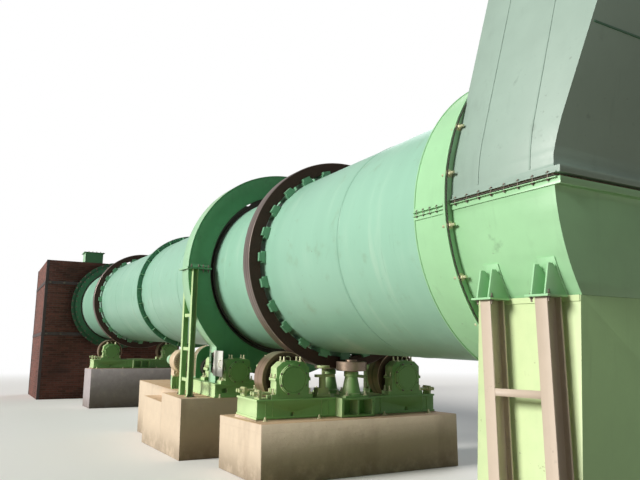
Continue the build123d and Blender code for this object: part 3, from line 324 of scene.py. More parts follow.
def bare_steel(name, colour, rust=0.4, polish=0.4):
    """Machined or forged steel with a film of rust and oil."""
    f = Finish(name)
    mid = f.noise(12.0, 5.0)
    fine = f.noise(90.0, 4.0)
    spots = f.noise(28.0, 6.0, 0.7).rise(0.52, 0.66) * rust
    tone = f.tint(shade(colour, 0.6), shade(colour, 1.35), mid)
    tone = f.tint(tone, f.tint(display(112, 64, 38), display(66, 42, 32), fine), spots)
    rough = mid * 0.2 + spots * 0.3 + (1.0 - polish) * 0.6
    return f.close(tone, rough, fine * 0.4 + mid * 0.6, 0.001, metallic=0.8 - spots * 0.6)


def cast_concrete(name, colour):
    """Float-finished concrete with board lines, pits, a stained foot and oily tops, greyer at the inlet."""
    f = Finish(name)
    x, z = (f.reach(axis, (0, 0, 0)) for axis in ((1, 0, 0), (0, 0, 1)))
    broad = f.noise(1.3, 5.0, 0.6)
    mid = f.noise(6.0, 6.0, 0.65)
    fine = f.noise(90.0, 5.0, 0.7)
    runs = f.noise(1.0, 5.0, vector=f.scaled(2.6, 1.1))
    tone = f.tint(shade(colour, 0.78), shade(colour, 1.18), broad * 0.4 + mid * 0.6)
    tone = f.tint(tone, display(128, 104, 84), runs.rise(0.52, 0.72) * 0.25)
    inlet_grey = f.tint(display(128, 124, 132), display(178, 174, 182), mid)
    tone = f.tint(tone, inlet_grey, x.rise(-9.0, -10.0) * 0.85)
    tone = f.tint(tone, display(208, 196, 170), mid.rise(0.55, 0.75) * runs.rise(0.6, 0.4) * 0.40)
    foot = z.rise(0.42, 0.0) * mid.rise(0.2, 0.6)
    tone = f.tint(tone, display(98, 84, 66), foot * 0.55)
    up = f.facing((0, 0, 1)).rise(0.4, 0.9)
    tone = f.tint(tone, display(186, 146, 104), up * (mid * 0.5 + 0.40))
    boards = z / 0.19
    lift = (boards - boards.maths("FLOOR") - 0.5).maths("ABSOLUTE").rise(0.488, 0.499) * (1.0 - up)
    tone = f.tint(tone, shade(colour, 0.6), lift * 0.10)
    pits = f.cells(46.0).rise(0.16, 0.05) * mid.rise(0.45, 0.6)
    tone = f.tint(tone, shade(colour, 0.42), pits * 0.5)
    oil = f.noise(2.3, 4.0).rise(0.63, 0.70) * up
    tone = f.tint(tone, display(70, 56, 42), oil * 0.6)
    height = mid * 1.6 + fine * 0.35 - pits * 0.8 - lift * 0.3 + broad * 2.0
    return f.close(tone, mid * 0.12 + 0.80 - oil * 0.3, height, 0.004)


def laid_brick(name, colour):
    """Brick in running bond, with pale lime specks, soot and deep joints."""
    f = Finish(name)
    x, y, z = (f.reach(axis, (0, 0, 0)) for axis in WORLD_AXES)
    on_end = f.facing((1, 0, 0)).maths("ABSOLUTE").rise(0.45, 0.55)
    on_top = f.facing((0, 0, 1)).maths("ABSOLUTE").rise(0.45, 0.55)
    wobble = (f.noise(3.0, 2.0) - 0.5) * 0.012
    run = y * on_end + x * (1.0 - on_end)
    climb = y * on_top + z * (1.0 - on_top)
    spot = f.node("ShaderNodeCombineXYZ", {}, {0: run + wobble, 1: climb + wobble, 2: 0.0})
    bond = {
        "Vector": spot, "Scale": 1.0, "Bias": 0.0,
        "Brick Width": 0.25, "Row Height": 0.073, "Mortar Size": 0.007, "Mortar Smooth": 0.35,
        "Color1": (0.0, 0.0, 0.0, 1.0), "Color2": (1.0, 1.0, 1.0, 1.0), "Mortar": (0.5, 0.5, 0.5, 1.0),
    }
    each = f.node("ShaderNodeTexBrick", {"offset": 0.5}, bond, "Color")
    joint = f.node("ShaderNodeTexBrick", {"offset": 0.5}, bond, "Fac")
    mid = f.noise(8.0, 6.0, 0.65)
    fine = f.noise(70.0, 4.0, 0.65)
    broad = f.noise(0.8, 4.0)
    tone = f.tint(shade(colour, 0.65), shade(colour, 1.45), each)
    tone = f.tint(tone, display(70, 50, 46), mid.rise(0.5, 0.72) * 0.5)
    lime = f.noise(40.0, 5.0, 0.7).rise(0.60, 0.68) * broad.rise(0.35, 0.6)
    tone = f.tint(tone, display(150, 128, 112), lime * 0.35)
    tone = f.tint(tone, f.tint(display(128, 112, 100), display(84, 70, 64), mid), joint * 0.85)
    tone = f.tint(tone, display(44, 38, 38), broad.rise(0.5, 0.75) * 0.5)
    height = (1.0 - joint) * 1.6 + fine * 0.4 + mid * 0.3 + each * 0.4
    return f.close(tone, mid * 0.1 + 0.82, height, 0.005)


def lay_of_rope(name, colour):
    """Graphited packing rope: strands wound round it and worn fibres."""
    f = Finish(name)
    bands = {"wave_type": "BANDS", "bands_direction": "DIAGONAL"}
    wound = f.node("ShaderNodeTexWave", bands, {"Vector": f.point, "Scale": 22.0, "Distortion": 1.2})
    fine = f.noise(160.0, 4.0)
    tone = f.tint(shade(colour, 0.45), shade(colour, 1.9), wound * 0.7 + fine * 0.3)
    return f.close(tone, fine * 0.1 + 0.78, wound * 1.0 + fine * 0.4, 0.004)


def greased(name, colour):
    """Steel under old dark grease."""
    f = Finish(name)
    mid = f.noise(14.0, 5.0)
    fine = f.noise(70.0, 3.0)
    tone = f.tint(shade(colour, 0.4), shade(colour, 1.6), mid)
    tone = f.tint(tone, display(60, 38, 22), mid.rise(0.5, 0.7) * 0.6)
    return f.close(tone, mid * 0.25 + 0.24, mid * 1.0 + fine * 0.3, 0.003, metallic=0.55)


def door_paint(name, colour):
    """White panel with a painted grey shadow over its lower part."""
    f = Finish(name)
    n = f.reach(UP)
    mid = f.noise(9.0, 5.0)
    # Painted shadow: grey over the panel's lower part, where a shadow falls.
    painted_shadow = (n + mid * 0.16).rise(-1.36, -1.47)
    tone = f.tint(shade(colour, 1.05), shade(colour, 0.86), mid)
    tone = f.tint(tone, display(96, 98, 94), painted_shadow * 0.85)
    return f.close(tone, mid * 0.15 + 0.42, mid * 0.6 + f.noise(80.0, 3.0) * 0.2, 0.001)


FINISHES = {}


def finish(name):
    """Material of this name, made by the finishes operator."""
    return FINISHES[name]


# Shapes

class Mould:
    """Gathers solids in one mesh, in metres of its own axes, and turns them into one piece."""

    def __init__(self, matrix=LINE):
        self.mesh = bmesh.new()
        self.matrix = matrix

    def prism(self, outline, start, end, axis=0):
        """Solid of one outline, in the other two coordinates, from start to end along an axis."""
        rings = []
        for level in (start, end):
            ring = []
            for a, b in outline:
                spot = [a, b]
                spot.insert(axis, level)
                ring.append(self.mesh.verts.new(spot))
            rings.append(ring)
        count = len(outline)
        for i in range(count):
            j = (i + 1) % count
            self.mesh.faces.new((rings[0][i], rings[0][j], rings[1][j], rings[1][i]))
        self.mesh.faces.new(rings[0][::-1])
        self.mesh.faces.new(rings[1])

    def block(self, low, high):
        """Box between two corners."""
        (s0, y0, n0), (s1, y1, n1) = low, high
        self.prism(((y0, n0), (y1, n0), (y1, n1), (y0, n1)), s0, s1)

    def turned(self, profile, centre, axis=0, steps=48, start=0.0, sweep=360.0):
        """Closed profile of (along, radius) turned round an axis through centre, wholly or in part."""
        whole = abs(sweep - 360.0) < 1e-6
        count = steps if whole else steps + 1
        rings = []
        for k in range(count):
            angle = math.radians(start + sweep * k / steps)
            ring = []
            for along, radius in profile:
                spot = list(centre)
                spot[axis] += along
                spot[(axis + 1) % 3] += radius * math.cos(angle)
                spot[(axis + 2) % 3] += radius * math.sin(angle)
                ring.append(self.mesh.verts.new(spot))
            rings.append(ring)
        size = len(profile)
        for k in range(steps):
            first, second = rings[k], rings[(k + 1) % count]
            for i in range(size):
                j = (i + 1) % size
                if profile[i][1] == 0.0 and profile[j][1] == 0.0:
                    continue
                self.mesh.faces.new((first[i], first[j], second[j], second[i]))
        if not whole:
            self.mesh.faces.new(rings[0])
            self.mesh.faces.new(rings[-1][::-1])

    def band(self, s0, s1, inner, outer, start=0.0, sweep=360.0, steps=128, centre=(0.0, 0.0)):
        """Flat ring or part of one round the drum's axis; angles run from +Y upward."""
        outline = ((s0, inner), (s1, inner), (s1, outer), (s0, outer))
        self.turned(outline, (0.0, *centre), 0, steps, start, sweep)

    def piece(self, name, body, material, slot, bevel=0.0, smooth=True):
        """Closes the mesh and makes it one piece that rides on a body."""
        bmesh.ops.remove_doubles(self.mesh, verts=self.mesh.verts, dist=1e-6)
        bmesh.ops.recalc_face_normals(self.mesh, faces=self.mesh.faces)
        data = bpy.data.meshes.new(name)
        self.mesh.to_mesh(data)
        self.mesh.free()
        data.transform(self.matrix)
        data.materials.append(finish(material))
        obj = bpy.data.objects.new(name, data)
        bpy.context.scene.collection.objects.link(obj)
        soften(obj, bevel, smooth)
        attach(obj, body)
        return obj


def soften(obj, bevel, smooth=True):
    """Rounds the arrises of a piece and shades its round faces smooth."""
    if smooth:
        for face in obj.data.polygons:
            face.use_smooth = True
    if bevel:
        rounding = obj.modifiers.new("Rounded edges", "BEVEL")
        rounding.width = bevel
        rounding.segments = 2
        rounding.limit_method = "ANGLE"
        rounding.angle_limit = math.radians(35)
        rounding.harden_normals = True
    elif smooth:
        split = obj.modifiers.new("Sharp edges", "EDGE_SPLIT")
        split.split_angle = math.radians(35)


def grown(tree, kind, settings, inputs):
    """One node of a geometry tree with its settings and inputs."""
    made = tree.nodes.new(kind)
    for key, value in settings.items():
        setattr(made, key, value)
    for key, value in inputs.items():
        if isinstance(value, bpy.types.NodeSocket):
            tree.links.new(value, made.inputs[key])
        else:
            made.inputs[key].default_value = value
    return made


def open_tree(name, sizes):
    """Geometry tree with a geometry input, named sizes and a material."""
    tree = bpy.data.node_groups.new(name, "GeometryNodeTree")
    tree.interface.new_socket("Geometry", in_out="INPUT", socket_type="NodeSocketGeometry")
    for size in sizes:
        tree.interface.new_socket(size, in_out="INPUT", socket_type="NodeSocketFloat")
    tree.interface.new_socket("Finish", in_out="INPUT", socket_type="NodeSocketMaterial")
    tree.interface.new_socket("Geometry", in_out="OUTPUT", socket_type="NodeSocketGeometry")
    return tree, tree.nodes.new("NodeGroupInput").outputs


def close_tree(tree, geometry, material):
    """Ends a tree: instances made real, and the material on them."""
    real = grown(tree, "GeometryNodeRealizeInstances", {}, {"Geometry": geometry})
    dressed = grown(tree, "GeometryNodeSetMaterial", {}, {"Geometry": real.outputs[0], "Material": material})
    grown(tree, "NodeGroupOutput", {}, {0: dressed.outputs[0]})
    return tree


def bolt_tree():
    """Hexagon nut on a washer with a stud through it, on every point, turned to the point's facing."""
    sizes = ("Across flats", "Nut height", "Washer radius", "Washer thickness", "Stud radius", "Stud length")
    tree, given = open_tree("Bolts on points", sizes)
    solids = []

    def sum_of(operation, first, second):
        """Socket of one Math node."""
        return grown(tree, "ShaderNodeMath", {"operation": operation}, {0: first, 1: second}).outputs[0]

    def stack(kind, sides, shape, depth, base, centred=True):
        """Keeps one round solid that stands on a base level."""
        mesh = grown(tree, kind, {}, {"Vertices": sides, "Depth": depth, **shape})
        lift = sum_of("ADD", sum_of("MULTIPLY", depth, 0.5 if centred else 0.0), base)
        shift = grown(tree, "ShaderNodeCombineXYZ", {}, {2: lift}).outputs[0]
        inputs = {"Geometry": mesh.outputs[0], "Translation": shift}
        solids.append(grown(tree, "GeometryNodeTransform", {}, inputs).outputs[0])

    corner = sum_of("MULTIPLY", given["Across flats"], 0.577)
    nut_body = sum_of("MULTIPLY", given["Nut height"], 0.8)
    nut_crown = sum_of("MULTIPLY", given["Nut height"], 0.2)
    washer = given["Washer thickness"]
    crown_base = sum_of("ADD", washer, nut_body)
    crown = {"Radius Bottom": corner, "Radius Top": sum_of("MULTIPLY", corner, 0.84)}
    stack("GeometryNodeMeshCylinder", 14, {"Radius": given["Washer radius"]}, washer, 0.0)
    stack("GeometryNodeMeshCylinder", 6, {"Radius": corner}, nut_body, washer)
    stack("GeometryNodeMeshCone", 6, crown, nut_crown, crown_base, centred=False)
    stack("GeometryNodeMeshCylinder", 8, {"Radius": given["Stud radius"]}, given["Stud length"], 0.0)
    joined = tree.nodes.new("GeometryNodeJoinGeometry")
    for solid in solids:
        tree.links.new(solid, joined.inputs[0])
    facing, size = (
        grown(tree, "GeometryNodeInputNamedAttribute", {"data_type": kind}, {"Name": name}).outputs[0]
        for name, kind in (("facing", "FLOAT_VECTOR"), ("size", "FLOAT"))
    )
    turn = grown(tree, "FunctionNodeAlignRotationToVector", {"axis": "Z"}, {"Vector": facing})
    laid = grown(tree, "GeometryNodeInstanceOnPoints", {}, {
        "Points": given["Geometry"],
        "Instance": joined.outputs[0],
        "Rotation": turn.outputs[0],
        "Scale": size,
    })
    return close_tree(tree, laid.outputs[0], given["Finish"])


def rod_tree():
    """Round rod along every edge of a mesh."""
    tree, given = open_tree("Rods along edges", ("Radius",))
    line = grown(tree, "GeometryNodeMeshToCurve", {}, {"Mesh": given["Geometry"]}).outputs[0]
    circle = {"Resolution": 8, "Radius": given["Radius"]}
    ring = grown(tree, "GeometryNodeCurvePrimitiveCircle", {"mode": "RADIUS"}, circle).outputs[0]
    swept = {"Curve": line, "Profile Curve": ring, "Fill Caps": True}
    rod = grown(tree, "GeometryNodeCurveToMesh", {}, swept).outputs[0]
    soft = grown(tree, "GeometryNodeSetShadeSmooth", {}, {"Geometry": rod, "Shade Smooth": True})
    return close_tree(tree, soft.outputs[0], given["Finish"])


TREES = {}


def evaluated(name, data, tree, sizes, material, body):
    """Runs a geometry tree over a mesh and keeps the result as one plain piece."""
    if tree not in TREES:
        TREES[tree] = {"bolts": bolt_tree, "rods": rod_tree}[tree]()
    group = TREES[tree]
    raw = bpy.data.objects.new(name + "_points", data)
    bpy.context.scene.collection.objects.link(raw)
    worker = raw.modifiers.new("Repeat", "NODES")
    worker.node_group = group
    for item in group.interface.items_tree:
        if item.in_out == "INPUT" and item.name in sizes:
            worker[item.identifier] = float(sizes[item.name])
        elif item.in_out == "INPUT" and item.name == "Finish":
            worker[item.identifier] = finish(material)
    result = bpy.data.meshes.new_from_object(raw.evaluated_get(bpy.context.evaluated_depsgraph_get()))
    result.name = name
    bpy.data.objects.remove(raw)
    obj = bpy.data.objects.new(name, result)
    bpy.context.scene.collection.objects.link(obj)
    if not result.materials:
        result.materials.append(finish(material))
    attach(obj, body)
    return obj


def bolts(name, rows, across=0.036, body="structure", material="bolt_zinc", stud=1.6):
    """One nut, washer and stud at each (point, direction[, size]) of rows, all in world metres."""
    data = bpy.data.meshes.new(name)
    data.from_pydata([tuple(row[0]) for row in rows], [], [])
    data.attributes.new("facing", "FLOAT_VECTOR", "POINT")
    data.attributes.new("size", "FLOAT", "POINT")
    data.attributes["facing"].data.foreach_set("vector", [part for row in rows for part in row[1]])
    data.attributes["size"].data.foreach_set("value", [row[2] if len(row) > 2 else 1.0 for row in rows])
    sizes = {
        "Across flats": across,
        "Nut height": across * 0.52,
        "Washer radius": across * 0.95,
        "Washer thickness": across * 0.12,
        "Stud radius": across * 0.33,
        "Stud length": across * stud,
    }
    return evaluated(name, data, "bolts", sizes, material, body)


def rods(name, paths, radius, material, body="structure", closed=False):
    """Round rods along polylines of world points."""
    points, edges = [], []
    for path in paths:
        first = len(points)
        points.extend(tuple(p) for p in path)
        edges.extend((i, i + 1) for i in range(first, len(points) - 1))
        if closed:
            edges.append((len(points) - 1, first))
    data = bpy.data.meshes.new(name)
    data.from_pydata(points, edges, [])
    return evaluated(name, data, "rods", {"Radius": radius}, material, body)


def ring_points(s, radius, count, start=0.0, centre=(0.0, 0.0)):
    """World points on a circle square to the machine line."""
    spots = (round_spot(k, count, start) for k in range(count))
    return [place(s, centre[0] + radius * y, centre[1] + radius * n) for y, n in spots]


def ring_rows(s, facing, radius, count, start, size=1.0, centre=(0.0, 0.0)):
    """Bolts on a circle square to the machine line, facing up or down it."""
    return [(point, ALONG * facing, size) for point in ring_points(s, radius, count, start, centre)]


def wall_rows(x, y, z, radius, count, start=0.0, size=1.0):
    """Bolts on a circle on the firing head's back wall."""
    spots = (round_spot(k, count, start) for k in range(count))
    return [(Vector((x, y + radius * c, z + radius * s)), -LENGTHWISE, size) for c, s in spots]


def corner_rows(s, y, level, ds, dy, size=1.0):
    """Studs at the four corners round a place, facing up."""
    return [(place(s + a, y + b, level), UP, size) for a in (-ds, ds) for b in (-dy, dy)]


def joint_rows(spots):
    """Nuts above and below the joint at axis height at each (s, y), and the pins through them."""
    tops = [place(s, y, JOINT_LEVEL + JOINT_HALF) for s, y in spots]
    feet = [place(s, y, JOINT_LEVEL - JOINT_HALF) for s, y in spots]
    return [(p, UP) for p in tops] + [(p, -UP) for p in feet], list(zip(feet, tops))


def rope_ring(name, s, radius, wander, count, seed, thickness):
    """Packing rope round the drum's axis, a little out of round as soft rope lies."""
    chance = random.Random(seed)
    rope = []
    for k in range(count):
        y, n = round_spot(k, count)
        far = radius + chance.uniform(-wander, wander)
        rope.append(place(s, far * y, far * n))
    rods(name, [rope], thickness, "packing_rope", closed=True)


def strap(mould, centre, middle, width, inner, outer):
    """Arched strap over the top of a bearing."""
    start, sweep = 22.0, 136.0
    mould.band(middle - width / 2, middle + width / 2, inner, outer, start, sweep, 40, centre)


def grooved_cover(mould, s, facing, centre, radius):
    """Flat end cover with a turned groove near its edge."""
    edge, groove, middle = 0.014, 0.006, 0.016
    profile = (
        (0.0, 0.0), (0.0, radius), (edge, radius), (edge, radius * 0.90),
        (groove, radius * 0.89), (groove, radius * 0.86), (edge, radius * 0.85), (middle, 0.0),
    )
    mould.turned([(s + facing * along, r) for along, r in profile], (0.0, *centre))


def even_spots(route, first, step):
    """Points along a route of (y, n) at even distances, from a first distance on."""
    spots, passed, due = [], 0.0, first
    for start, end in zip(route, route[1:]):
        span = math.dist(start, end)
        while due < passed + span:
            part = (due - passed) / span
            spots.append([a + (b - a) * part for a, b in zip(start, end)])
            due += step
        passed += span
    return spots


# Sizes and colours

class DRYER_PG_sizes(bpy.types.PropertyGroup):
    """Sizes of the dressing."""

    weld_width: bpy.props.FloatProperty(
        name="Weld width", description="Width of the weld beads round the shell",
        default=0.018, unit="LENGTH",
    )
    flange_nut: bpy.props.FloatProperty(
        name="Flange nut", description="Across flats of the nuts on the hood's flanges",
        default=0.030, unit="LENGTH",
    )
    stud_nut: bpy.props.FloatProperty(
        name="Stud nut", description="Across flats of the nuts on the bearing caps",
        default=0.034, unit="LENGTH",
    )
    anchor_nut: bpy.props.FloatProperty(
        name="Anchor nut", description="Across flats of the nuts on the anchor studs",
        default=0.046, unit="LENGTH",
    )
    rope_radius: bpy.props.FloatProperty(
        name="Packing rope", description="Radius of the packing rope",
        default=0.008, unit="LENGTH",
    )
    edge_round: bpy.props.FloatProperty(
        name="Edge rounding", description="Rounding of plate and casting edges",
        default=0.004, unit="LENGTH",
    )


class DRYER_PG_colours(bpy.types.PropertyGroup):
    """Colours of the finishes."""

    drum: bpy.props.FloatVectorProperty(
        name="Drum", description="Enamel of the turning shell",
        subtype="COLOR", size=3, default=display(146, 193, 171),
    )
    guard: bpy.props.FloatVectorProperty(
        name="Guard", description="Enamel of the gear guard",
        subtype="COLOR", size=3, default=display(88, 158, 108),
    )
    frame: bpy.props.FloatVectorProperty(
        name="Frames", description="Enamel of bases and bearings",
        subtype="COLOR", size=3, default=display(120, 172, 100),
    )
    hood: bpy.props.FloatVectorProperty(
        name="Hood", description="Enamel of the hood",
        subtype="COLOR", size=3, default=display(156, 206, 160),
    )
    cream: bpy.props.FloatVectorProperty(
        name="Motor", description="Enamel of the motor and the mesh",
        subtype="COLOR", size=3, default=display(216, 196, 166),
    )
    column: bpy.props.FloatVectorProperty(
        name="Columns", description="Enamel of the columns",
        subtype="COLOR", size=3, default=display(190, 176, 160),
    )
    concrete: bpy.props.FloatVectorProperty(
        name="Concrete", description="Concrete of the piers",
        subtype="COLOR", size=3, default=display(208, 192, 170),
    )
    brick: bpy.props.FloatVectorProperty(
        name="Brick", description="Brick of the firing head",
        subtype="COLOR", size=3, default=display(104, 62, 54),
    )


class Step:
    """Shared access to the sizes and colours."""

    bl_options = {"REGISTER", "UNDO"}

    @property
    def sizes(self):
        """Sizes that the panel shows."""
        return bpy.context.scene.dryer_sizes

    @property
    def colours(self):
        """Colours that the panel shows."""
        return bpy.context.scene.dryer_colours


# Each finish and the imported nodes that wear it
WORN = {
    "drum_enamel": ("drum_shell",),
    "pad_enamel": ("tyre_pads",),
    "drum_trim": ("shell_flange",),
    "tyre_steel": ("tyres",),
    "near_roller": ("roller_discharge_near", "roller_inlet_near"),
    "far_roller": ("roller_discharge_far", "roller_inlet_far"),
    "gear_steel": ("girth_gear", "pinion"),
    "thrust_steel": ("thrust_roller_discharge", "thrust_roller_gear"),
    "worn_steel": ("lifting_flights", "seal_rings"),
    "pier_concrete": ("station_piers", "drive_pier"),
    "frame_enamel": (
        "station_bases", "roller_bearings", "thrust_pedestals", "drive_base", "pinion_bearings",
        "motor_stool", "guard_legs",
    ),
    "pale_enamel": ("roller_adjusters", "float_indicator"),
    "guard_enamel": (
        "gear_guard_upper", "gear_guard_lower", "belt_guard", "coupling_shroud", "feed_chute",
    ),
    "reducer_enamel": ("reducer",),
    "cream_enamel": ("motor",),
    "white_enamel": ("casing_door",),
    "hood_enamel": ("discharge_seal", "hood_lower", "hood_brackets"),
    "hood_upper_enamel": ("hood_upper", "exhaust_duct"),
    "packing_sheet": ("hood_gasket",),
    "chute_enamel": ("discharge_chute",),
    "column_enamel": ("hood_columns",),
    "deep_enamel": ("inlet_seal",),
    "head_brick": ("firing_head",),
    "head_binding": ("head_steel", "burner_neck"),
}

# Rounding of the nodes' edges, as a multiple of the size that the user sets
ROUNDED = {
    0.5: ("hood_brackets",),
    0.75: (
        "gear_guard_upper", "gear_guard_lower", "hood_columns", "motor_stool", "guard_legs",
        "hood_lower", "hood_upper", "discharge_chute", "casing_door", "float_indicator",
    ),
    1.0: ("station_bases", "drive_base", "thrust_pedestals", "belt_guard"),
    1.5: ("roller_bearings", "pinion_bearings", "reducer"),
    3.75: ("firing_head",),
    4.5: ("station_piers", "drive_pier"),
}


def by_node(groups):
    """Turns a table of groups of nodes round, so that each node names its group."""
    return {node: key for key, nodes in groups.items() for node in nodes}


class DRYER_OT_finishes(Step, bpy.types.Operator):
    """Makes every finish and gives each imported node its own."""

    bl_idname = "dryer.finishes"
    bl_label = "Finishes"

    def execute(self, context):
        for name, make, colour, details in self.recipes():
            FINISHES[name] = make(name, tuple(colour), **details)
        worn, rounded = by_node(WORN), by_node(ROUNDED)
        unmatched = set(frame["nodes"]) ^ set(worn)
        if unmatched:
            raise RuntimeError(f"nodes without a finish, or unknown: {sorted(unmatched)}")
        for name, node in frame["nodes"].items():
            node.data.materials.clear()
            node.data.materials.append(finish(worn[name]))
            weld = node.modifiers.new("Joined facets", "WELD")
            weld.merge_threshold = 0.00002
            soften(node, rounded.get(name, 0.0) * self.sizes.edge_round)
        return {"FINISHED"}

    def recipes(self):
        """Name, maker, colour and details of each finish."""
        c = self.colours
        stop_lugs = dict(dust=0.2, wear=0.9, streaks=0.2)
        hood_plate = dict(dust=0.2, wear=0.25, streaks=0.35)
        # painted_lit_side is a paler colour painted on faces turned towards -Y, standing in for the key
        # light's lit side.
        guard = dict(wear=0.4, streaks=0.6, sheen=0.34, painted_lit_side=display(186, 222, 190))
        frames = dict(wear=0.8, streaks=0.6, painted_lit_side=display(218, 236, 184))
        chute = dict(dust=0.3, wear=0.4, sheen=0.4, painted_lit_side=display(214, 223, 176))
        columns = dict(dust=0.3, wear=0.3, streaks=0.3, sheen=0.45)
        tyre = dict(side=display(66, 42, 34), radius=TYRE_RADIUS)
        roller = dict(side=display(92, 72, 56), radius=ROLLER_RADIUS)
        near = dict(roller, centre=(-ROLLER_Y, ROLLER_N))
        far = dict(roller, centre=(ROLLER_Y, ROLLER_N))
        return (
            ("drum_enamel", drum_paint, c.drum, {}),
            ("pad_enamel", fixed_paint, display(120, 178, 142), stop_lugs),
            ("drum_trim", fixed_paint, display(74, 136, 102), stop_lugs),
            ("guard_enamel", fixed_paint, c.guard, guard),
            ("frame_enamel", fixed_paint, c.frame, frames),
            ("pale_enamel", fixed_paint, display(178, 194, 140), dict(wear=0.8, streaks=0.4)),
            ("deep_enamel", fixed_paint, display(52, 108, 76), dict(dust=0.3, wear=0.6)),
            ("hood_enamel", fixed_paint, c.hood, dict(hood_plate, sheen=0.34)),
            ("hood_upper_enamel", fixed_paint, display(144, 167, 156), dict(hood_plate, sheen=0.42)),
            ("chute_enamel", fixed_paint, display(158, 196, 142), chute),
            ("cream_enamel", fixed_paint, c.cream, dict(dust=0.4, streaks=0.4)),
            ("column_enamel", fixed_paint, c.column, columns),
            ("white_enamel", door_paint, display(212, 214, 208), {}),
            ("reducer_enamel", fixed_paint, display(62, 116, 84), dict(wear=0.6)),
            ("tyre_steel", rolled_steel, display(150, 136, 130), tyre),
            ("near_roller", rolled_steel, display(186, 158, 136), near),
            ("far_roller", rolled_steel, display(186, 158, 136), far),
            ("gear_steel", greased, display(84, 80, 76), {}),
            ("thrust_steel", bare_steel, display(150, 132, 116), dict(rust=0.4, polish=0.5)),
            ("worn_steel", bare_steel, display(128, 118, 106), dict(rust=0.7, polish=0.3)),
            ("bolt_zinc", bare_steel, display(206, 206, 170), dict(rust=0.3, polish=0.35)),
            ("bolt_dark", bare_steel, display(112, 104, 94), dict(rust=0.5, polish=0.35)),
            ("head_binding", bare_steel, display(84, 78, 78), dict(rust=0.8, polish=0.2)),
            ("pier_concrete", cast_concrete, c.concrete, {}),
            ("head_brick", laid_brick, c.brick, {}),
            ("packing_rope", lay_of_rope, display(62, 62, 54), {}),
            ("packing_sheet", lay_of_rope, display(150, 122, 110), {}),
        )


class DRYER_OT_shell(Step, bpy.types.Operator):
    """Weld beads round the shell, and the bolts of its joint and painted highlights on its gusset edges."""

    bl_idname = "dryer.shell"
    bl_label = "Shell welds and joint bolts"

    def execute(self, context):
        self.weld_beads()
        joint, pitch_radius = -6.768, 1.252
        rows = ring_rows(joint, 1, pitch_radius, 72, 2.5)
        bolts("shell_joint_bolts", rows, 0.030, "drum", "drum_trim", 1.1)
        self.gusset_highlights()
        return {"FINISHED"}

    def weld_beads(self):
        """One bead at each course of plates, but for the one under the discharge tyre."""
        half, sunk, proud = self.sizes.weld_width / 2, DRUM_RADIUS - 0.002, DRUM_RADIUS + 0.0035
        beads = Mould()
        for course in (*range(-8, 0), *range(1, LAST_COURSE + 1)):
            s = COURSE * course
            profile = ((s - half, sunk), (s - half / 2, proud), (s + half / 2, proud), (s + half, sunk))
            beads.turned(profile, (0.0, 0.0, 0.0), steps=160)
        beads.piece("shell_welds", "drum", "drum_enamel", "green_paint")

    def gusset_highlights(self):
        """Pale strips on the front edges of the ribs that stiffen the joint, a painted highlight on those
        edges.
        """
        count, half, tip = 24, 0.007, 1.284
        # Painted highlight: the strips are paler than the ring so that the rib edges look lit.
        edges = Mould()
        for k in range(count):
            y, n = round_spot(k, count)
            corners = ((DRUM_RADIUS, -half), (tip, -half), (tip, half), (DRUM_RADIUS, half))
            edges.prism([(r * y - w * n, r * n + w * y) for r, w in corners], -6.698, -6.690)
        edges.piece("shell_gusset_highlights", "drum", "hood_enamel", "green_paint", 0.0, False)


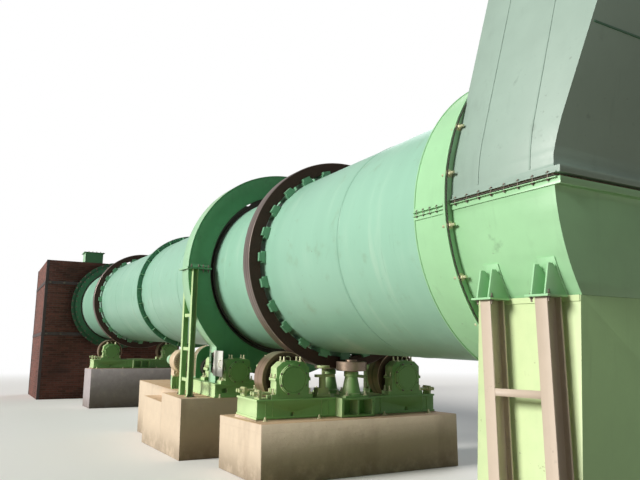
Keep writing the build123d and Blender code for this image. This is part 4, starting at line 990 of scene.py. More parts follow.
class DRYER_OT_hood(Step, bpy.types.Operator):
    """Flange nuts, packing rope and lapped seams of the hood, and bolts of its duct."""

    bl_idname = "dryer.hood"
    bl_label = "Hood joint and seams"

    def execute(self, context):
        first, pitch, edge = 4.04, 0.118, HOOD_RADIUS + 0.014
        spots = [(first + pitch * k, hand * edge) for k in range(8) for hand in (1, -1)]
        rows, pins = joint_rows(spots)
        bolts("hood_flange_bolts", rows, self.sizes.flange_nut * 0.48, material="bolt_dark", stud=0.95)
        rods("hood_flange_pins", pins, 0.004, "bolt_dark")
        rim, start, end = HOOD_RADIUS + 0.006, HOOD_FRONT + 0.01, HOOD_BACK + 0.006
        outline = ((start, -rim), (end, -rim), (end, rim), (start, rim))
        corners = [place(s, y, JOINT_LEVEL) for s, y in outline]
        thickness = self.sizes.rope_radius * 0.8
        rods("hood_packing_rope", [self.frayed(corners)], thickness, "packing_rope")
        self.seams()
        self.weld_strips()
        self.duct_bolts()
        return {"FINISHED"}

    def frayed(self, corners):
        """Points every few centimetres along a route, a little out of line as soft rope lies."""
        chance, spacing, wander = random.Random(11), 0.045, 0.002
        points = []
        for first, second in zip(corners, corners[1:]):
            count = max(2, int((second - first).length / spacing))
            for k in range(count):
                points.append(first.lerp(second, k / count) + UP * chance.uniform(-wander, wander))
        return points + [corners[-1]]

    def seams(self):
        """Lapped plate edges that follow the hood's round and leaning sides."""
        low, top, width, proud = math.radians(2.2), HOOD_TOP - 0.01, 0.012, 0.004
        climb = top - HOOD_RADIUS * math.sin(HOOD_LEAN)
        half_top = HOOD_RADIUS * math.cos(HOOD_LEAN) - climb * math.tan(HOOD_LEAN)
        steps = 8
        angles = [low + (HOOD_LEAN - low) * k / steps for k in range(steps + 1)]

        def side(hand, lift):
            """Outline of one side from the joint up to the roof, lifted off the skin."""
            radius = HOOD_RADIUS + lift
            round_part = [(hand * radius * math.cos(a), radius * math.sin(a)) for a in angles]
            return round_part + [(hand * (half_top + lift), top)]

        laps = Mould()
        for s in (4.25, 4.71):
            for hand in (1, -1):
                laps.prism(side(hand, proud) + side(hand, 0.0)[::-1], s, s + width)
        laps.piece("hood_seams", "structure", "hood_upper_enamel", "green_paint", 0.0, False)

    def weld_strips(self):
        """Weld strips across the leaning end plate."""
        end_lean, lean_start = 0.18, 0.11
        strips = Mould()
        for n, half in ((0.95, 1.19), (1.62, 1.0)):
            s = HOOD_BACK + end_lean * (n - lean_start)
            strips.block((s - 0.004, -half, n - 0.006), (s + 0.006, half, n + 0.006))
        strips.piece("hood_weld_strips", "structure", "deep_enamel", "green_paint", 0.0, False)

    def duct_bolts(self):
        """Bolts all round the flange between hood and duct."""
        _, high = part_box("exhaust_duct")
        reach, middle, half = high.y - 0.03, 4.64, 0.69
        spots = [(middle + hand * half, reach * (k - 4) / 4) for k in range(9) for hand in (1, -1)]
        spots += [(3.98 + 0.145 * k, hand * reach) for k in range(10) for hand in (1, -1)]
        rows = [(place(s, y, HOOD_TOP + 0.034), UP) for s, y in spots]
        bolts("duct_flange_bolts", rows, self.sizes.flange_nut, material="bolt_dark")


class DRYER_OT_seal(Step, bpy.types.Operator):
    """Clamp nuts, ring bolts, rope and rolled lip of the discharge seal."""

    bl_idname = "dryer.seal"
    bl_label = "Discharge seal"

    def execute(self, context):
        first, pitch, edge = SEAL_FRONT + 0.045, 0.082, SEAL_RADIUS + 0.012
        rows, pins = joint_rows([(first + pitch * k, hand * edge) for hand in (1, -1) for k in range(6)])
        bolts("seal_clamp_bolts", rows, self.sizes.flange_nut * 0.42, material="bolt_dark", stud=0.95)
        rods("seal_clamp_pins", pins, 0.0035, "bolt_dark")
        pitch_radius, count, start = 1.457, 24, 7.5
        rows = ring_rows(HOOD_FRONT, 1, pitch_radius, count, start)
        rows += ring_rows(SEAL_BACK, -1, pitch_radius, count, start)
        bolts("seal_ring_bolts", rows, self.sizes.flange_nut * 1.1)
        rope_ring("seal_rope", HOOD_FRONT + 0.004, 1.4765, 0.0016, 260, 5, self.sizes.rope_radius * 0.6)
        self.lip()
        return {"FINISHED"}

    def lip(self):
        """Rolled edge of the housing's mouth."""
        s, radius = SEAL_FRONT + 0.006, SEAL_RADIUS + 0.002
        sixths = (0.0, 1.05, 2.09, 3.14, 4.19, 5.24)
        profile = [(s + 0.007 * math.cos(a), radius + 0.006 * math.sin(a)) for a in sixths]
        lips = Mould()
        lips.turned(profile, (0.0, 0.0, 0.0), steps=144)
        lips.piece("seal_lips", "structure", "hood_enamel", "green_paint")


class DRYER_OT_stations(Step, bpy.types.Operator):
    """Straps, covers, studs, anchors and grease pipes of both roller stations."""

    bl_idname = "dryer.stations"
    bl_label = "Roller stations"

    def execute(self, context):
        housings = [(s, hand, facing) for s in STATIONS for hand in (-1, 1) for facing in (1, -1)]
        for station, name in zip(STATIONS, ("base_ribs_discharge", "base_ribs_inlet")):
            self.base_ribs(station, name)
        self.straps_and_covers(housings)
        self.housing_studs(housings)
        self.cover_bolts(housings)
        self.anchors()
        self.lock_nuts(housings)
        self.grease_pipes(housings)
        self.thrust_details()
        return {"FINISHED"}

    def middle(self, station, facing):
        """Middle of a bearing housing along the machine line."""
        return station + facing * (HOUSING_BACK + HOUSING_DEPTH / 2)

    def cover_face(self, station, facing):
        """Face of a bearing housing that its end cover lies on."""
        return station + facing * (HOUSING_BACK + HOUSING_DEPTH + 0.030)

    def straps_and_covers(self, housings):
        """Two straps over each bearing housing, and a cover on its outer end."""
        straps, covers = Mould(), Mould()
        for station, hand, facing in housings:
            centre = (hand * ROLLER_Y, ROLLER_N)
            for shift in (-0.062, 0.062):
                strap(straps, centre, self.middle(station, facing) + shift, 0.024, 0.205, 0.228)
            grooved_cover(covers, self.cover_face(station, facing), facing, centre, 0.176)
        straps.piece("bearing_straps", "structure", "frame_enamel", "green_paint", 0.002)
        covers.piece("bearing_covers", "structure", "frame_enamel", "green_paint")

    def cover_bolts(self, housings):
        """Small bolts round each end cover."""
        rows = []
        for station, hand, facing in housings:
            centre = (hand * ROLLER_Y, ROLLER_N)
            rows += ring_rows(self.cover_face(station, facing), facing, 0.1815, 8, 22.5, centre=centre)
        bolts("bearing_cover_bolts", rows, 0.0165, material="bolt_dark", stud=0.8)

    def housing_studs(self, housings):
        """Studs of cap, joint and foot: half spread, level and size of each four."""
        cap, joint = (0.112, HOUSING_TOP - 0.001, 1.0), (0.2345, ROLLER_N + 0.017, 0.8)
        fours = (cap, joint, (0.2525, BASE_TOP + 0.054, 1.1))
        rows = []
        for station, hand, facing in housings:
            for spread, level, size in fours:
                middle = self.middle(station, facing)
                rows += corner_rows(middle, hand * ROLLER_Y, level, 0.052, spread, size)
        bolts("bearing_studs", rows, self.sizes.stud_nut, stud=1.9)

    def grease_pipes(self, housings):
        """Short bent pipe out of each cap."""
        pipes = []
        for station, hand, facing in housings:
            top = place(self.middle(station, facing), hand * ROLLER_Y, HOUSING_TOP + 0.012)
            bend = ((-0.03, 0.0), (0.035, 0.0), (0.052, 0.02), (0.052, 0.055))
            pipes.append([top + UP * rise + ACROSS * (hand * out) for rise, out in bend])
        rods("grease_pipes", pipes, 0.006, "bolt_zinc")

    def lock_nuts(self, housings):
        """Lock nuts on both sides of the lug of each setting screw."""
        lug, half_lug, level = 1.286, 0.015, BASE_TOP + 0.068
        rows = []
        for station, hand, facing in housings:
            for shift in (-0.038, 0.038):
                for side in (1, -1):
                    spot = place(self.middle(station, facing) + shift, hand * (lug + side * half_lug), level)
                    rows.append((spot, ACROSS * (hand * side)))
        bolts("adjuster_lock_nuts", rows, 0.044, stud=0.6)

    def anchors(self):
        """Anchor studs beside both bases, standing plumb on the piers."""
        pier_edge = 0.69
        rows = []
        for station in STATIONS:
            level = place(station + pier_edge, 0.0, BASE_BOTTOM).z
            for facing in (1, -1):
                for y in (-1.249, -0.518, 0.459, 1.188):
                    spot = place(station + facing * (BASE_HALF_WIDTH + 0.058), y, BASE_BOTTOM)
                    rows.append((Vector((spot.x, spot.y, level)), VERTICAL))
        bolts("anchor_studs", rows, self.sizes.anchor_nut * 0.8, stud=1.3)

    def base_ribs(self, station, name):
        """Pairs of ribs between the plates of a station base."""
        ribs, thick = Mould(), 0.008
        for facing in (1, -1):
            face = station + facing * BASE_HALF_WIDTH
            inner, outer = sorted((face - facing * 0.012, face - facing * 0.004))
            for y in (-1.17, -0.40, 0.40, 1.17):
                for start in (y - 0.05, y + 0.042):
                    low = (inner, start, BASE_BOTTOM + BASE_PLATE)
                    ribs.block(low, (outer, start + thick, BASE_TOP - BASE_PLATE))
        ribs.piece(name, "structure", "frame_enamel", "green_paint")

    def thrust_details(self):
        """Foot bolts and collars of the thrust pedestals, and the float indicator's bolts."""
        level, roller_offset = BASE_TOP + 0.024, TYRE_HALF + 0.2003
        rows, collars = [], Mould()
        for facing in (1, -1):
            s = facing * roller_offset
            rows += corner_rows(s, 0.0, level, 0.115, 0.135)
            profile = ((0.0, 0.126), (0.0, 0.140), (0.02, 0.140), (0.026, 0.126))
            collars.turned([(level + rise, r) for rise, r in profile], (s, 0.0, 0.0), 2)
        bolts("thrust_bolts", rows, 0.036, stud=1.5)
        collars.piece("thrust_collars", "structure", "frame_enamel", "green_paint")
        rows = corner_rows(0.2, -0.395, BASE_TOP + 0.045, 0.068, 0.082)
        bolts("indicator_bolts", rows, 0.018, stud=1.4)


class DRYER_OT_drive(Step, bpy.types.Operator):
    """Guard hems and bolts, casing door, bearings, reducer, motor and coupling mesh."""

    bl_idname = "dryer.drive"
    bl_label = "Gear drive"

    def execute(self, context):
        self.guard_hems()
        self.guard_bolts()
        self.hatch()
        self.casing_hems()
        self.pinion_bearings()
        self.reducer()
        self.motor_grille()
        self.motor_fittings()
        shroud = self.shroud_plates()
        mesh = self.shroud_mesh()
        foot = self.shroud_frame()
        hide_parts("coupling_shroud")
        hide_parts("coupling_shroud")
        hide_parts("coupling_shroud")
        return {"FINISHED"}

    def guard_hems(self):
        """Flat hems along the rim and the bore of both faces: inner and outer radius, start and sweep."""
        rim, bore, thick = (GUARD_RADIUS - 0.030, GUARD_RADIUS), (GUARD_BORE, GUARD_BORE + 0.024), 0.004
        arcs = (
            (*rim, 1.0, 178.0, 96), (*rim, 181.0, 42.0, 24), (*rim, 251.0, 108.0, 60),
            (*bore, 1.0, 178.0, 96), (*bore, 181.0, 178.0, 96),
        )
        hems = Mould()
        for face, outward in ((GUARD_FRONT, 1), (GUARD_BACK, -1)):
            s0, s1 = sorted((face, face + outward * thick))
            for arc in arcs:
                hems.band(s0, s1, *arc)
        hems.piece("guard_hems", "structure", "guard_enamel", "green_paint", 0.001)

    def guard_bolts(self):
        """Bolts of the guard's joint, nutted below where the flange is open, and of its legs' feet."""
        level, rows = 0.012, []
        for s in (GUARD_FRONT + 0.042, GUARD_BACK - 0.042):
            for hand in (1, -1):
                rows += [(place(s, hand * y, level), UP) for y in (1.335, 1.415, 1.488, 1.600)]
                rows += [(place(s, hand * y, -level), -UP) for y in (1.335, 1.415)]
        bolts("guard_flange_bolts", rows, self.sizes.flange_nut, material="bolt_dark")
        leg_y, level = -1.54, DRIVE_BOTTOM + 0.008
        feet = [(s, leg_y + dy) for s in (GUARD_FRONT + 0.09, GUARD_BACK - 0.09) for dy in (-0.0432, 0.0432)]
        rows = [(place(s, y, level), UP) for s, y in feet]
        bolts("leg_foot_bolts", rows, 0.022, material="bolt_dark")

    def hatch(self):
        """Frame, bolts and hinges of the inspection opening, and the handle of its open door."""
        face, back, front = CASING_LEFT, -1.995, -1.800
        outer = face - 0.008
        bars = (
            (back, -1.968, -1.562, -1.256), (-1.819, front, -1.562, -1.256),
            (back, front, -1.562, -1.558), (back, front, -1.260, -1.238), (back, front, -1.582, -1.560),
        )
        border, hinges = Mould(), Mould()
        for s0, s1, n0, n1 in bars:
            border.block((s0, outer, n0), (s1, face, n1))
        border.piece("hatch_frame", "structure", "guard_enamel", "green_paint", 0.001)
        half, radius = 0.035, 0.011
        knuckle = ((-half, 0.0), (-half, radius), (half, radius), (half, 0.0))
        for n in (-1.534, -1.286):
            hinges.turned(knuckle, (-1.797, face - 0.028, n), 2, 16)
        hinges.piece("door_hinges", "structure", "bolt_dark", "bolt_steel")
        grip = ((-0.026, -1.36), (-0.052, -1.365), (-0.056, -1.41), (-0.052, -1.455), (-0.026, -1.46))
        handle = [place(-1.46, face + dy, n) for dy, n in grip]
        rods("door_handle", [handle], 0.006, "bolt_zinc")
        rows = [(place(-1.982, outer, n), -ACROSS) for n in (-1.57, -1.41, -1.25)]
        bolts("hatch_bolts", rows, 0.016, stud=1.6)

    def casing_hems(self):
        """Hems along the foot and the sides of the casing's front."""
        hems, face, width = Mould(), GUARD_FRONT + 0.004, 0.024
        low = (GUARD_FRONT, CASING_LEFT, CASING_BOTTOM + width / 2)
        hems.block(low, (face, CASING_RIGHT, CASING_BOTTOM + width))
        for edge in (CASING_LEFT, CASING_RIGHT - width):
            hems.block((GUARD_FRONT, edge, CASING_BOTTOM), (face, edge + width, -1.2))
        hems.piece("casing_hems", "structure", "guard_enamel", "green_paint", 0.001)

    def pinion_bearings(self):
        """Straps, cover and studs of the pinion's bearings, and bolts along the base's front edge."""
        centre = (PINION_Y, PINION_N)
        cap, joint = (0.095, PINION_N + 0.184, 1.0), (0.2055, PINION_N + 0.018, 0.75)
        fours = (cap, joint, (0.227, DRIVE_TOP + 0.048, 1.0))
        straps, covers, rows = Mould(), Mould(), []
        for middle in (-1.54, -2.31):
            for shift in (-0.062, 0.062):
                strap(straps, centre, middle + shift, 0.022, 0.178, 0.199)
            for spread, level, size in fours:
                rows += corner_rows(middle, PINION_Y, level, 0.055, spread, size)
        rows += [(place(DRIVE_FRONT + 0.012, y, DRIVE_BOTTOM), UP, 0.9) for y in (-1.17, -0.83, -0.50)]
        cover_face = -1.414
        grooved_cover(covers, cover_face, 1, centre, 0.146)
        straps.piece("pinion_straps", "structure", "frame_enamel", "green_paint", 0.002)
        covers.piece("pinion_cover", "structure", "frame_enamel", "green_paint")
        bolts("pinion_studs", rows, self.sizes.stud_nut, stud=1.8)
        rows = ring_rows(cover_face, 1, 0.151, 8, 22.5, centre=centre)
        bolts("pinion_cover_bolts", rows, 0.015, material="bolt_dark", stud=0.8)

    def reducer(self):
        """Joint, foot and cover bolts of the reducer, its inspection cover and its breather."""
        middle_s, middle_y, top = -3.22, -0.74, PINION_N + 0.240
        rows = []
        for k in range(6):
            for y in (middle_y - 0.277, middle_y + 0.277):
                for side in (1, -1):
                    rows.append((place(-3.405 + 0.073 * k, y, PINION_N + side * 0.018), UP * side, 0.9))
        rows += corner_rows(middle_s, middle_y, DRIVE_TOP + 0.040, 0.18, 0.28, 1.2)
        for s in (middle_s - 0.125, middle_s, middle_s + 0.125):
            rows += [(place(s, y, top + 0.008), UP, 0.6) for y in (middle_y - 0.105, middle_y + 0.105)]
        cover, breather = Mould(), Mould()
        cover.block(
            (middle_s - 0.14, middle_y - 0.12, top),
            (middle_s + 0.14, middle_y + 0.12, top + 0.008),
        )
        cover.piece("reducer_cover", "structure", "reducer_enamel", "green_paint", 0.002)
        profile = (
            (0.030, 0.0), (0.030, 0.024), (0.052, 0.024), (0.056, 0.036),
            (0.080, 0.036), (0.092, 0.022), (0.094, 0.0),
        )
        breather.turned([(top + rise, r) for rise, r in profile], (-3.2225, middle_y, 0.0), 2, 24)
        breather.piece("reducer_breather", "structure", "bolt_zinc", "bolt_steel")
        bolts("reducer_bolts", rows, 0.026, stud=1.5)

    def motor_grille(self):
        """Grille over the fan: dark disc, rings, spokes and the cowl's raised hoops."""
        centre, face, reach = (MOTOR_Y, MOTOR_N), MOTOR_FACE + 0.005, 0.162
        disc = Mould()
        back, front = MOTOR_FACE - 0.001, MOTOR_FACE + 0.002
        disc.turned(((back, 0.0), (back, reach), (front, reach), (front, 0.0)), (0.0, *centre))
        disc.piece("cowl_shadow", "structure", "bolt_dark", "bolt_steel")
        rings = [ring_points(face, 0.014 + 0.0108 * k, 40, centre=centre) for k in range(14)]
        rods("cowl_rings", rings, 0.0026, "cream_enamel", closed=True)
        count = 28
        inner, outer = (ring_points(face, radius, count, centre=centre) for radius in (0.02, reach))
        rods("cowl_spokes", list(zip(inner, outer)), 0.0024, "cream_enamel")
        hoops = Mould()
        for s in (-3.290, -3.225, -3.160):
            hoops.band(s, s + 0.008, 0.192, 0.1985, steps=64, centre=centre)
        hoops.piece("cowl_hoops", "structure", "cream_enamel", "cream_paint")

    def motor_fittings(self):
        """Lifting eye of the motor, and bolts of its terminal box and its stool."""
        count, radius, level = 18, 0.018, MOTOR_N + 0.150
        spots = (round_spot(k, count) for k in range(count))
        eye = [place(-3.355 + radius * a, MOTOR_Y, level + radius * b) for a, b in spots]
        rods("motor_eye", [eye], 0.005, "bolt_dark", closed=True)
        rows = corner_rows(-3.445, MOTOR_Y, MOTOR_N + 0.166, 0.05, 0.045, 0.5)
        for y in (STOOL_Y - 0.130, STOOL_Y + 0.130):
            rows.append((place(-3.153, y, -1.677), UP, 0.7))
            rows.append((place(-3.158, y, DRIVE_BOTTOM + 0.014), UP, 0.8))
        bolts("motor_bolts", rows, 0.022, stud=1.6)

    def shroud_reach(self, y, n):
        """Distance from the coupling's axis to the shroud's outline, in the direction (y, n)."""
        rise, floor = SHROUD_ARCH - PINION_N, DRIVE_TOP - PINION_N
        to_arch = rise * n + math.sqrt(SHROUD_HALF ** 2 - (rise * y) ** 2)
        if to_arch * n >= rise:
            return to_arch
        to_side = SHROUD_HALF / abs(y)
        return min(to_side, floor / n) if n < 0 else to_side

    def shroud_plates(self):
        """End plates of the coupling's guard, each with a round hole."""
        count, hole, thick = 72, 0.16, 0.006
        plates = Mould()
        for start in (SHROUD_BACK, SHROUD_FRONT - thick):
            rings = []
            for level in (start, start + thick):
                for reach in (self.shroud_reach, lambda y, n: hole):
                    ring = []
                    for y, n in (round_spot(k, count) for k in range(count)):
                        far = reach(y, n)
                        ring.append(plates.mesh.verts.new((level, PINION_Y + far * y, PINION_N + far * n)))
                    rings.append(ring)
            for k in range(count):
                j = (k + 1) % count
                for a, b in ((0, 1), (1, 3), (3, 2), (2, 0)):
                    plates.mesh.faces.new((rings[a][k], rings[a][j], rings[b][j], rings[b][k]))
        return plates.piece("shroud_plates", "structure", "guard_enamel", "green_paint", 0.0, False)

    def shroud_mesh(self):
        """Welded mesh of the coupling's guard: hoops over the arch and wires across them."""
        foot, arc = DRIVE_TOP + 0.02, []
        for degrees in range(0, 181, 6):
            angle = math.radians(degrees)
            y, n = SHROUD_HALF * math.cos(angle), SHROUD_HALF * math.sin(angle)
            arc.append((PINION_Y + y, SHROUD_ARCH + n))
        route = [(PINION_Y + SHROUD_HALF, foot), *arc, (PINION_Y - SHROUD_HALF, foot)]
        hoops = [[place(SHROUD_BACK + 0.012 + 0.0266 * k, y, n) for y, n in route] for k in range(8)]
        ends = (SHROUD_BACK + 0.004, SHROUD_FRONT - 0.004)
        wires = [[place(s, *spot) for s in ends] for spot in even_spots(route, 0.012, 0.024)]
        return rods("shroud_mesh", hoops + wires, 0.0026, "cream_enamel")

    def shroud_frame(self):
        """Foot angles and end hoops that hold the mesh."""
        bars, half = Mould(), SHROUD_HALF
        legs = ((half - 0.006, half + 0.045, 0.008), (half - 0.008, half - 0.002, 0.03))
        for hand in (1, -1):
            for near, far, height in legs:
                low, high = sorted((PINION_Y + hand * near, PINION_Y + hand * far))
                bars.block((SHROUD_BACK, low, DRIVE_TOP), (SHROUD_FRONT, high, DRIVE_TOP + height))
        width, centre = 0.022, (PINION_Y, SHROUD_ARCH)
        for start in (SHROUD_BACK, SHROUD_FRONT - width):
            bars.band(start, start + width, half - 0.005, half + 0.001, 0.0, 180.0, 60, centre)
        return bars.piece("shroud_frame", "structure", "guard_enamel", "green_paint", 0.0, False)


class DRYER_OT_firing_end(Step, bpy.types.Operator):
    """Bolts and rope of the inlet seal, bolts of feed neck and bindings, and fittings of the back wall."""

    bl_idname = "dryer.firing_end"
    bl_label = "Firing end"

    def execute(self, context):
        rows = ring_rows(-15.936, 1, 1.505, 40, 4.5) + ring_rows(-15.8, 1, 1.400, 48, 3.75, 0.8)
        bolts("inlet_seal_bolts", rows, 0.034, material="bolt_dark")
        rope_ring("inlet_seal_rope", -15.797, 1.238, 0.002, 200, 9, self.sizes.rope_radius * 1.2)
        self.feed_bolts()
        self.binding_bolts()
        self.cleanout_door()
        self.sight_ports()
        return {"FINISHED"}

    def feed_bolts(self):
        """Bolts along the four sides of the feed neck's foot and of its top flange."""
        low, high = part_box("feed_chute")
        x, y = (low.x + high.x) / 2, (low.y + high.y) / 2
        foot, top = HEAD_HEIGHT + 0.014, HEAD_HEIGHT + 0.434
        rows = []
        for level, reach, places in ((foot, 0.37, range(6)), (top, 0.335, range(1, 5))):
            for k in places:
                step = -0.34 + 0.136 * k
                for out in (reach, -reach):
                    rows.append((Vector((x + step, y + out, level)), VERTICAL))
                    rows.append((Vector((x + out, y + step, level)), VERTICAL))
        bolts("feed_bolts", rows, 0.026, material="bolt_dark", stud=1.3)

    def binding_bolts(self):
        """Bolts of the upper two bands, at the front only where the inlet seal leaves room."""
        rows, washer = [], 0.020
        for level, seal_half in ((2.205, 1.6), (3.985, 0.9)):
            for k in range(11):
                y = -2.25 + 0.45 * k
                rows.append((Vector((HEAD_BACK - washer, y, level)), -LENGTHWISE))
                if abs(y) > seal_half:
                    rows.append((Vector((HEAD_FACE + washer, y, level)), LENGTHWISE))
        bolts("binding_bolts", rows, 0.040, material="bolt_dark", stud=1.4)

    def cleanout_door(self):
        """Clean-out door in the back wall, with its frame and strap hinges."""
        x = HEAD_BACK
        left, right, low, high, border = 1.18, 1.82, 0.55, 1.35, 0.08
        door, trim = Mould(PLUMB), Mould(PLUMB)
        door.block((x - 0.050, left, low), (x - 0.030, right, high))
        door.piece("cleanout_door", "structure", "head_binding", "dark_steel", 0.006)
        bars = (
            (left - border, left, low - border, high + border),
            (right, right + border, low - border, high + border),
            (left, right, low - border, low),
            (left, right, high, high + border),
        )
        for y0, y1, z0, z1 in bars:
            trim.block((x - 0.030, y0, z0), (x, y1, z1))
        half, radius = 0.05, 0.018
        knuckle = ((-half, 0.0), (-half, radius), (half, radius), (half, 0.0))
        for z in (0.70, 1.20):
            trim.block((x - 0.064, 1.06, z - 0.03), (x - 0.050, 1.60, z + 0.03))
            trim.turned(knuckle, (x - 0.052, 1.07, z), 2, 20)
        trim.piece("cleanout_frame", "structure", "head_binding", "dark_steel", 0.003)

    def sight_ports(self):
        """Two sight ports in the back wall, and the bolts of the ports and the burner's flange."""
        x, plate = HEAD_BACK, 0.02
        profile = (
            (0.0, 0.0), (0.0, 0.13), (-plate, 0.13), (-plate, 0.075),
            (-0.14, 0.07), (-0.14, 0.085), (-0.16, 0.085), (-0.16, 0.0),
        )
        ports, rows = Mould(PLUMB), []
        for y, z in ((-1.25, 1.75), (1.35, 2.75)):
            ports.turned([(x + along, r) for along, r in profile], (0.0, y, z), 0, 32)
            rows += wall_rows(x - plate, y, z, 0.105, 6, size=0.6)
        ports.piece("sight_ports", "structure", "head_binding", "dark_steel", 0.002)
        low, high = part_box("burner_neck")
        rows += wall_rows(x - plate, (low.y + high.y) / 2, (low.z + high.z) / 2, 0.485, 16, 11.0)
        bolts("rear_bolts", rows, 0.036, material="bolt_dark", stud=1.4)


class DRYER_OT_supports(Step, bpy.types.Operator):
    """Bolts of the columns and brackets, and the chute's foot bolts and edge strips."""

    bl_idname = "dryer.supports"
    bl_label = "Columns and chute"

    def execute(self, context):
        self.column_bolts()
        self.chute_fittings()
        return {"FINISHED"}

    def column_bolts(self):
        """Four bolts in each foot plate, and two through each bracket's seat."""
        seat, column_top, column_y = -0.720, -0.734, 1.396
        rows = []
        for s in (4.277, 4.745):
            x = place(s, 0.0, column_top).x
            for hand in (1, -1):
                for y in (1.316, 1.431):
                    rows += [(Vector((x + dx, hand * y, 0.016)), VERTICAL, 1.0) for dx in (-0.07, 0.07)]
                for ds in (-0.077, 0.055):
                    rows.append((place(s + ds, hand * column_y, seat), UP, 0.7))
                    rows.append((place(s + ds, hand * column_y, column_top), -UP, 0.7))
        bolts("column_bolts", rows, 0.026, material="bolt_dark", stud=1.6)

    def chute_fittings(self):
        """Bolts along the chute's feet, and a strip along its top edge."""
        low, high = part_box("discharge_chute")
        first, run = low.x + 0.07, high.x - low.x - 0.2
        spots = [(first + run * k / 4, y) for k in range(5) for y in (1.256, -1.256)]
        rows = [(Vector((x, y, 0.012)), VERTICAL) for x, y in spots]
        bolts("chute_foot_bolts", rows, 0.022, material="bolt_dark", stud=1.3)
        strips = Mould()
        for left, right in ((1.239, 1.246), (-1.246, -1.239)):
            strips.block((4.045, left, -0.760), (4.895, right, -0.722))
        strips.piece("chute_top_strip", "structure", "chute_enamel", "green_paint", 0.001)


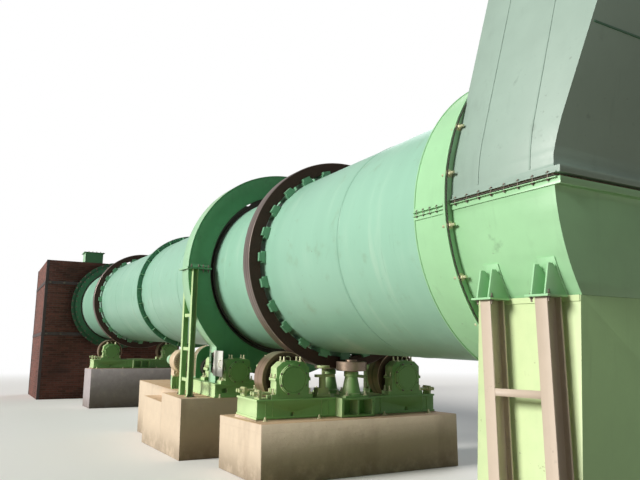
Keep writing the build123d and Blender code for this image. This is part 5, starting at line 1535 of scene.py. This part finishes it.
class DRYER_OT_stage(Step, bpy.types.Operator):
    """Floor, soft light and the camera at the photograph's angle."""

    bl_idname = "dryer.stage"
    bl_label = "Stage, light and camera"

    def execute(self, context):
        self.lay_floor(context)
        self.light_world(context)
        self.hang_light(context, "key_light", 4.4, 20, (1.0, 0.965, 0.915), (0.10, 0.90, -0.38))
        self.hang_light(context, "fill_light", 0.9, 50, (0.92, 0.96, 1.0), (0.45, -0.70, -0.55))
        self.hang_camera(context)
        context.scene.view_settings.view_transform = "Standard"
        return {"FINISHED"}

    def lay_floor(self, context):
        """Round floor that is pale where it is seen, and turns to the white backdrop far away."""
        mesh = bmesh.new()
        bmesh.ops.create_circle(mesh, cap_ends=True, segments=96, radius=90.0)
        data = bpy.data.meshes.new("studio_floor")
        mesh.to_mesh(data)
        mesh.free()
        data.materials.append(self.floor_finish())
        floor = bpy.data.objects.new("studio_floor", data)
        context.scene.collection.objects.link(floor)
        floor.location = (MACHINE_MIDDLE, 0.0, -0.001)

    def floor_finish(self):
        """Pale floor whose darker, warmer twin lights the machine from below."""
        f = Finish("studio_floor")
        x, y = (f.reach(axis, (MACHINE_MIDDLE, 0.0, 0.0)) for axis in WORLD_AXES[:2])
        away = ((x * x + y * y) ** 0.5).rise(14.0, 46.0)
        seen = self.seen_directly(f)
        f.close(f.tint(display(140, 128, 98), display(240, 239, 236), seen), 0.85)
        glow = f.node("ShaderNodeEmission", {}, {"Color": (1.0, 1.0, 1.0, 1.0), "Strength": 1.0})
        layers = {0: away * seen, 1: Wire(f, f.shader.outputs[0]), 2: glow}
        joined = f.node("ShaderNodeMixShader", {}, layers)
        output = next(n for n in f.tree.nodes if n.type == "OUTPUT_MATERIAL")
        f.tree.links.new(joined.socket, output.inputs[0])
        return f.material

    def seen_directly(self, f):
        """1 for rays from the camera, mirrors and glass, 0 for the light that surfaces share."""
        kinds = ("Is Camera Ray", "Is Glossy Ray", "Is Transmission Ray")
        camera, glossy, through = (f.node("ShaderNodeLightPath", {}, {}, kind) for kind in kinds)
        return camera.maths("MAXIMUM", glossy).maths("MAXIMUM", through)

    def light_world(self, context):
        """Faint cool light all round, brighter in reflections and white to the camera."""
        white = (1.0, 1.0, 1.0, 1.0)
        world = bpy.data.worlds.new("studio_light")
        world.use_nodes = True
        tree = world.node_tree
        tree.nodes.clear()
        paths = tree.nodes.new("ShaderNodeLightPath")

        def glow(colour, strength):
            """Even light of one colour and strength."""
            light = tree.nodes.new("ShaderNodeBackground")
            light.inputs[0].default_value = colour
            light.inputs[1].default_value = strength
            return light.outputs[0]

        shown = glow((0.92, 0.96, 1.0, 1.0), 0.15)
        backdrop = glow(white, 1.0)
        mirrored = glow(white, 0.42)
        rays = (("Is Glossy Ray", mirrored), ("Is Transmission Ray", backdrop), ("Is Camera Ray", backdrop))
        for ray, light in rays:
            mix = tree.nodes.new("ShaderNodeMixShader")
            for socket, source in zip(mix.inputs, (paths.outputs[ray], shown, light)):
                tree.links.new(source, socket)
            shown = mix.outputs[0]
        output = tree.nodes.new("ShaderNodeOutputWorld")
        tree.links.new(shown, output.inputs[0])
        context.scene.world = world

    def hang_light(self, context, name, energy, angle, colour, travel):
        """Sun lamp of a soft size whose light travels along a direction."""
        sun = bpy.data.lights.new(name, "SUN")
        sun.energy = energy
        sun.angle = math.radians(angle)
        sun.color = colour
        lamp = bpy.data.objects.new(name, sun)
        lamp.rotation_euler = Vector(travel).to_track_quat("-Z", "Y").to_euler()
        context.scene.collection.objects.link(lamp)

    def hang_camera(self, context):
        """Camera where the photograph was taken, level and turned towards the drive."""
        yaw, pitch = 1.07109, 0.185438
        level = math.cos(pitch)
        forward = Vector((-math.sin(yaw) * level, math.cos(yaw) * level, math.sin(pitch)))
        lens = bpy.data.cameras.new("photo_camera")
        lens.sensor_width = 36.0
        lens.lens = 34.953
        lens.clip_end = 300.0
        camera = bpy.data.objects.new("photo_camera", lens)
        camera.location = (7.34796, -4.34382, 1.4267)
        camera.rotation_euler = forward.to_track_quat("-Z", "Y").to_euler()
        context.scene.collection.objects.link(camera)
        context.scene.camera = camera


class DRYER_PT_panel(bpy.types.Panel):
    """Lists the steps of the dressing."""

    bl_label = "Drum dryer"
    bl_idname = "DRYER_PT_panel"
    bl_space_type = "VIEW_3D"
    bl_region_type = "UI"
    bl_category = "Dryer"

    def draw(self, context):
        for group in (context.scene.dryer_sizes, context.scene.dryer_colours):
            for key in group.__annotations__:
                self.layout.prop(group, key)
        for step in STEPS:
            self.layout.operator(step.bl_idname)


STEPS = (
    DRYER_OT_stage,
    DRYER_OT_finishes,
    DRYER_OT_shell,
    DRYER_OT_hood,
    DRYER_OT_seal,
    DRYER_OT_stations,
    DRYER_OT_drive,
    DRYER_OT_firing_end,
    DRYER_OT_supports,
)
CLASSES = (DRYER_PG_sizes, DRYER_PG_colours, *STEPS, DRYER_PT_panel)


def register():
    for cls in CLASSES:
        bpy.utils.register_class(cls)
    bpy.types.Scene.dryer_sizes = bpy.props.PointerProperty(type=DRYER_PG_sizes)
    bpy.types.Scene.dryer_colours = bpy.props.PointerProperty(type=DRYER_PG_colours)


def unregister():
    del bpy.types.Scene.dryer_colours
    del bpy.types.Scene.dryer_sizes
    for cls in reversed(CLASSES):
        bpy.utils.unregister_class(cls)


def main():
    register()
    for step in STEPS:
        group, name = step.bl_idname.split(".")
        getattr(getattr(bpy.ops, group), name)()


if __name__ == "__main__":
    main()
